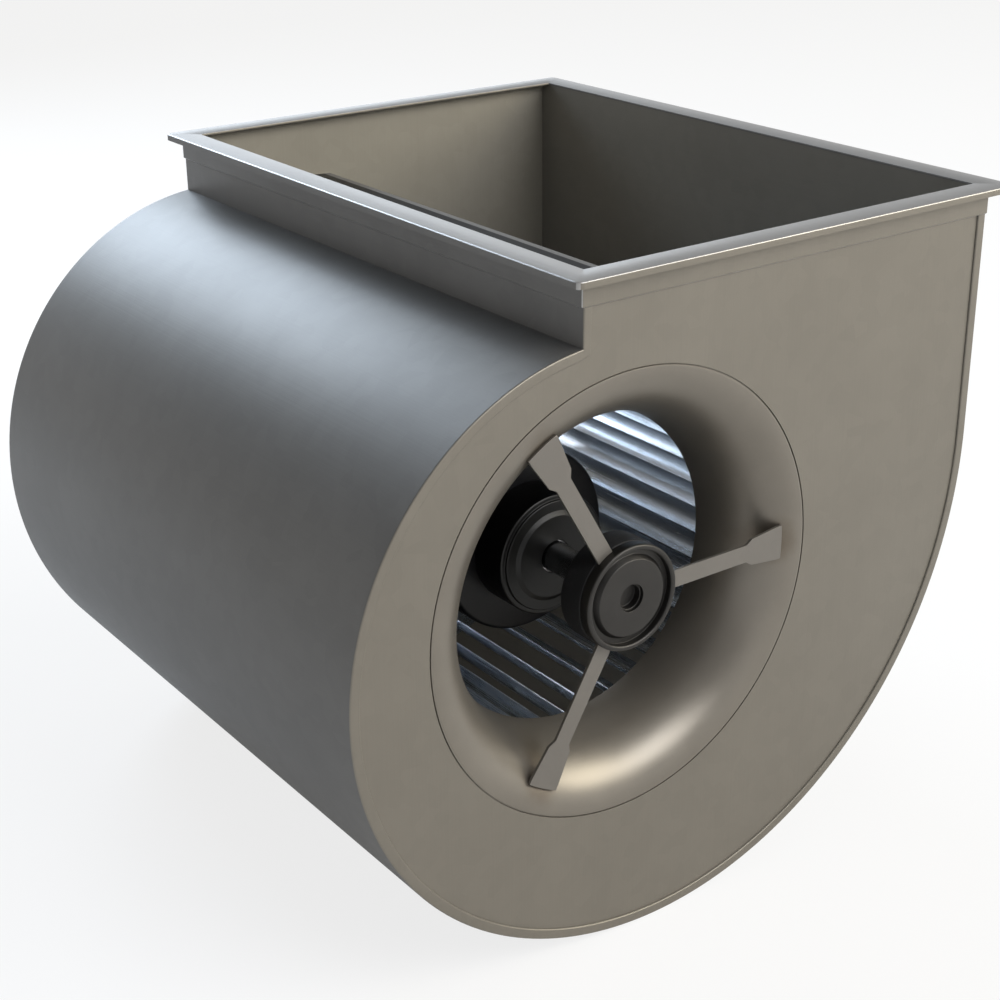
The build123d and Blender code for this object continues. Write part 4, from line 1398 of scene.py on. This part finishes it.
class WheelBody(bpy.types.Operator):
    """Makes the wheel's end rings, centre disc, hub and rivets"""

    bl_idname = "blower.wheel_body"
    bl_label = "Wheel Body"

    def execute(self, context):
        sizes = context.scene.blower_wheel
        inlet = context.scene.blower_inlet
        motor = context.scene.blower_motor
        end = inlet.depth + sizes.gap
        band_inner = sizes.outer_radius + sizes.band_gap
        band_outer = band_inner + sizes.ring_sheet
        ring_section = [
            (sizes.ring_inner_radius, end, RIM_EDGE),
            (band_outer, end, sizes.ring_bend),
            (band_outer, end + sizes.band_width, CUT_EDGE),
            (band_inner, end + sizes.band_width, 0),
            (band_inner, end + sizes.ring_sheet, 0),
            (sizes.ring_inner_radius, end + sizes.ring_sheet, RIM_EDGE),
        ]
        turned_pair("end_ring", "wheel_ring", "wheel_steel", ring_section, segments=160)
        half = sizes.disc_sheet / 2
        hub_inner = motor.rotor_radius + motor.fit
        hub_outer = hub_inner + sizes.hub_wall
        disc_radius = sizes.outer_radius + sizes.disc_margin
        disc_section = [
            (hub_outer + sizes.rivet_gap, PLATE_FACE - half, 0),
            (disc_radius, PLATE_FACE - half, RIM_EDGE),
            (disc_radius, PLATE_FACE + half, RIM_EDGE),
            (hub_outer + sizes.rivet_gap, PLATE_FACE + half, 0),
        ]
        turned_piece("centre_disc", "wheel_disc", "wheel_steel", disc_section, segments=160)
        start = PLATE_FACE - sizes.hub_length / 2
        stop = PLATE_FACE + sizes.hub_length / 2
        flange_start = PLATE_FACE + half
        flange_end = flange_start + sizes.hub_flange_sheet
        hub_section = [
            (hub_inner, start, sizes.hub_bore_edge),
            (hub_outer, start, BEND_EDGE),
            (hub_outer, flange_start, 0),
            (sizes.hub_flange_radius, flange_start, 0),
            (sizes.hub_flange_radius, flange_end, BEND_EDGE),
            (hub_outer, flange_end, sizes.hub_fillet),
            (hub_outer, stop, BEND_EDGE),
            (hub_inner, stop, sizes.hub_bore_edge),
        ]
        turned_piece("wheel_boss", "wheel_hub", "wheel_steel", hub_section)
        rivets = repeated("rivet_row", self.rivet(sizes, half, flange_end), sizes.rivet_count, 0.0, "spring")
        dress(rivets, "spring", smooth=40.0)
        place_piece(rivets, "wheel", "spring_steel", "hub_rivets")
        return {"FINISHED"}

    def rivet(self, sizes, half, flange_end):
        """One rivet: a domed head on each side of the joint."""
        radius = sizes.rivet_head_radius
        height = sizes.rivet_head_height
        rings, points = 5, 20
        vertices = []
        faces = []
        for face, way in ((-half, -1), (flange_end - PLATE_FACE, 1)):
            base = len(vertices)
            for ring in range(rings):
                lift = math.pi / 2 * ring / rings
                y = face + way * height * math.sin(lift)
                for step in range(points):
                    turn = 2 * math.pi * step / points
                    x = sizes.rivet_circle + radius * math.cos(lift) * math.cos(turn)
                    vertices.append((x, y, radius * math.cos(lift) * math.sin(turn)))
            for ring in range(rings - 1):
                for step in range(points):
                    a = base + ring * points + step
                    b = base + ring * points + (step + 1) % points
                    faces.append((a, b, b + points, a + points))
            top = base + (rings - 1) * points
            faces.append(tuple(base + step for step in range(points)))
            faces.append(tuple(top + step for step in range(points)))
        return add_piece("rivet_pattern", vertices, faces)


class InnerWorks(bpy.types.Operator):
    """Finishes the CAD nodes that keep their shape: cutoff plate, bearings, sleeves, clips and stator"""

    bl_idname = "blower.inner_works"
    bl_label = "Inner Works"

    def execute(self, context):
        parts = ("inner_ring", "outer_ring", "balls")
        kept = {
            # The cutoff plate's near-black finish is painted shade, with a painted highlight along its
            # curled edge.
            "cutoff": ("cutoff_plate",),
            "axle": ("bush_sleeve_front", "bush_sleeve_rear"),
            "spring": ("axle_clips",),
            "race": [f"bearing_{part}_{name}" for part in parts for name, _ in SIDES],
            "stator": ("stator_core",),
            "winding": ("stator_windings",),
            "cage": ("rotor_cage",),
        }
        for finish, nodes in kept.items():
            for node in nodes:
                NODES[node].data.materials.clear()
                NODES[node].data.materials.append(finish_named(finish))
        return {"FINISHED"}


class Stage(bpy.types.Operator):
    """Sets the camera, the lamps, the surroundings and the floor"""

    bl_idname = "blower.stage"
    bl_label = "Stage"

    def execute(self, context):
        scene = context.scene
        settings = scene.blower_stage
        scene.view_settings.view_transform = "Standard"
        self.camera(scene, settings)
        near, far = settings.back_distance, settings.distance
        warm, cool = (1.0, 0.94, 0.79), (0.72, 0.85, 1.0)
        self.soft_box("key_lamp", settings.key, warm, size=3.0, distance=far, turn=324.0, height=26.0)
        self.soft_box("front_lamp", settings.front, WHITE, size=3.1, distance=far, turn=288.0, height=36.5)
        self.soft_box("back_lamp", settings.back, cool, size=1.15, distance=near, turn=92.5, height=34.0)
        self.surroundings(scene, settings)
        self.floor()
        return {"FINISHED"}

    def camera(self, scene, settings):
        """The camera that was fitted to the photo."""
        eye = bpy.data.cameras.new("camera")
        eye.lens = settings.lens
        eye.sensor_width = 36.0
        eye.clip_start = 0.01
        holder = bpy.data.objects.new("camera", eye)
        scene.collection.objects.link(holder)
        forward = Vector(CAMERA_FORWARD).normalized()
        right = Vector(CAMERA_RIGHT).normalized()
        up = right.cross(forward)
        turned = Matrix((right, up, -forward)).transposed().to_4x4()
        holder.matrix_world = Matrix.Translation(CAMERA_PLACE) @ turned
        scene.camera = holder

    def soft_box(self, name, power, rgb, size, distance, turn, height):
        """A square lamp that faces the blower, from an angle round Z and an angle above the floor."""
        light = bpy.data.lights.new(name, "AREA")
        light.energy = power
        light.color = rgb
        light.size = size
        holder = bpy.data.objects.new(name, light)
        bpy.context.scene.collection.objects.link(holder)
        low, high = CAD_BOUNDS
        turn, height = math.radians(turn), math.radians(height)
        flat = math.cos(height)
        way = Vector((flat * math.cos(turn), flat * math.sin(turn), math.sin(height)))
        holder.location = (low + high) / 2 + way * distance
        holder.rotation_euler = way.to_track_quat("Z", "Y").to_euler()

    def surroundings(self, scene, settings):
        """A white backdrop, taller behind the blower than in front of it, and a dimmer ceiling over it."""
        world = bpy.data.worlds.new("studio")
        world.use_nodes = True
        world.node_tree.nodes.clear()
        graph = Graph(world.node_tree)
        way = graph.node("ShaderNodeTexCoord", output="Generated")
        x, y, z = graph.parts(way)
        tallest = math.radians(75.0)
        spread = (0.872, 0.935)
        edge = (0.05, 0.28)
        rise = 0.18
        extra = 1.35
        cool = (0.86, 0.93, 1.0)
        behind = (x * math.cos(tallest) + y * math.sin(tallest)).smooth(*spread)
        backdrop = 1.0 - (z - behind * rise).smooth(*edge)
        camera, glossy, through = graph.rays()
        mirrored = glossy + through
        shown = camera + mirrored * backdrop
        strength = shown * (1.0 + mirrored * behind * extra) + (1.0 - shown) * settings.ceiling
        shade = graph.mix(mirrored * behind, tint(WHITE, 1.0), tint(cool, 1.0))
        background = graph.node("ShaderNodeBackground", inputs={"Color": shade, "Strength": strength})
        graph.node("ShaderNodeOutputWorld", inputs={"Surface": background})
        scene.world = world

    def floor(self):
        """A wide pale floor under the blower, which camera and mirrors see brighter than it is lit."""
        low = min(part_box(node)[0].z for node in NODES)
        reach = 12.0
        seen_glow, mirrored_glow = 0.8, 0.25
        corners = [(-reach, -reach, low), (reach, -reach, low), (reach, reach, low), (-reach, reach, low)]
        floor = add_piece("studio_floor", corners, [(0, 1, 2, 3)])
        material = bpy.data.materials.new("floor_finish")
        material.use_nodes = True
        material.node_tree.nodes.clear()
        graph = Graph(material.node_tree)
        camera, glossy, through = graph.rays()
        pale = tint(bpy.context.scene.blower_colours.floor, 1.0)
        matt = graph.node("ShaderNodeBsdfDiffuse", inputs={"Color": pale})
        glow = graph.node("ShaderNodeEmission", inputs={"Color": tint(WHITE, 1.0), "Strength": 1.0})
        share = camera * seen_glow + (glossy + through) * mirrored_glow
        blended = graph.node("ShaderNodeMixShader", inputs={0: share, 1: matt, 2: glow})
        graph.node("ShaderNodeOutputMaterial", inputs={"Surface": blended})
        floor.data.materials.append(material)


OPERATORS = (
    SidePlates,
    ScrollWrapper,
    OutletFlange,
    InletBells,
    Arms,
    Hubs,
    AxleShaft,
    BearingHousings,
    Rotor,
    Blades,
    WheelBody,
    InnerWorks,
    Stage,
)

SETTINGS = {
    "blower_scroll": ScrollSizes,
    "blower_flange": FlangeSizes,
    "blower_inlet": InletSizes,
    "blower_hub": HubSizes,
    "blower_motor": MotorSizes,
    "blower_wheel": WheelSizes,
    "blower_colours": FinishColours,
    "blower_stage": StageSettings,
}


class BlowerPanel(bpy.types.Panel):
    """Lists the blower's operators, sizes and colours"""

    bl_idname = "VIEW3D_PT_blower"
    bl_label = "Blower"
    bl_space_type = "VIEW_3D"
    bl_region_type = "UI"
    bl_category = "Blower"

    def draw(self, context):
        for operator in OPERATORS:
            self.layout.operator(operator.bl_idname)
        for name, group in SETTINGS.items():
            box = self.layout.box()
            box.label(text=group.__doc__)
            for field in group.__annotations__:
                box.prop(getattr(context.scene, name), field)


def register():
    for group in SETTINGS.values():
        bpy.utils.register_class(group)
    for name, group in SETTINGS.items():
        setattr(bpy.types.Scene, name, PointerProperty(type=group))
    for operator in OPERATORS:
        bpy.utils.register_class(operator)
    bpy.utils.register_class(BlowerPanel)


def unregister():
    bpy.utils.unregister_class(BlowerPanel)
    for operator in reversed(OPERATORS):
        bpy.utils.unregister_class(operator)
    for name in SETTINGS:
        delattr(bpy.types.Scene, name)
    for group in SETTINGS.values():
        bpy.utils.unregister_class(group)


def main():
    register()
    for operator in OPERATORS:
        group, name = operator.bl_idname.split(".")
        getattr(getattr(bpy.ops, group), name)()


if __name__ == "__main__":
    main()
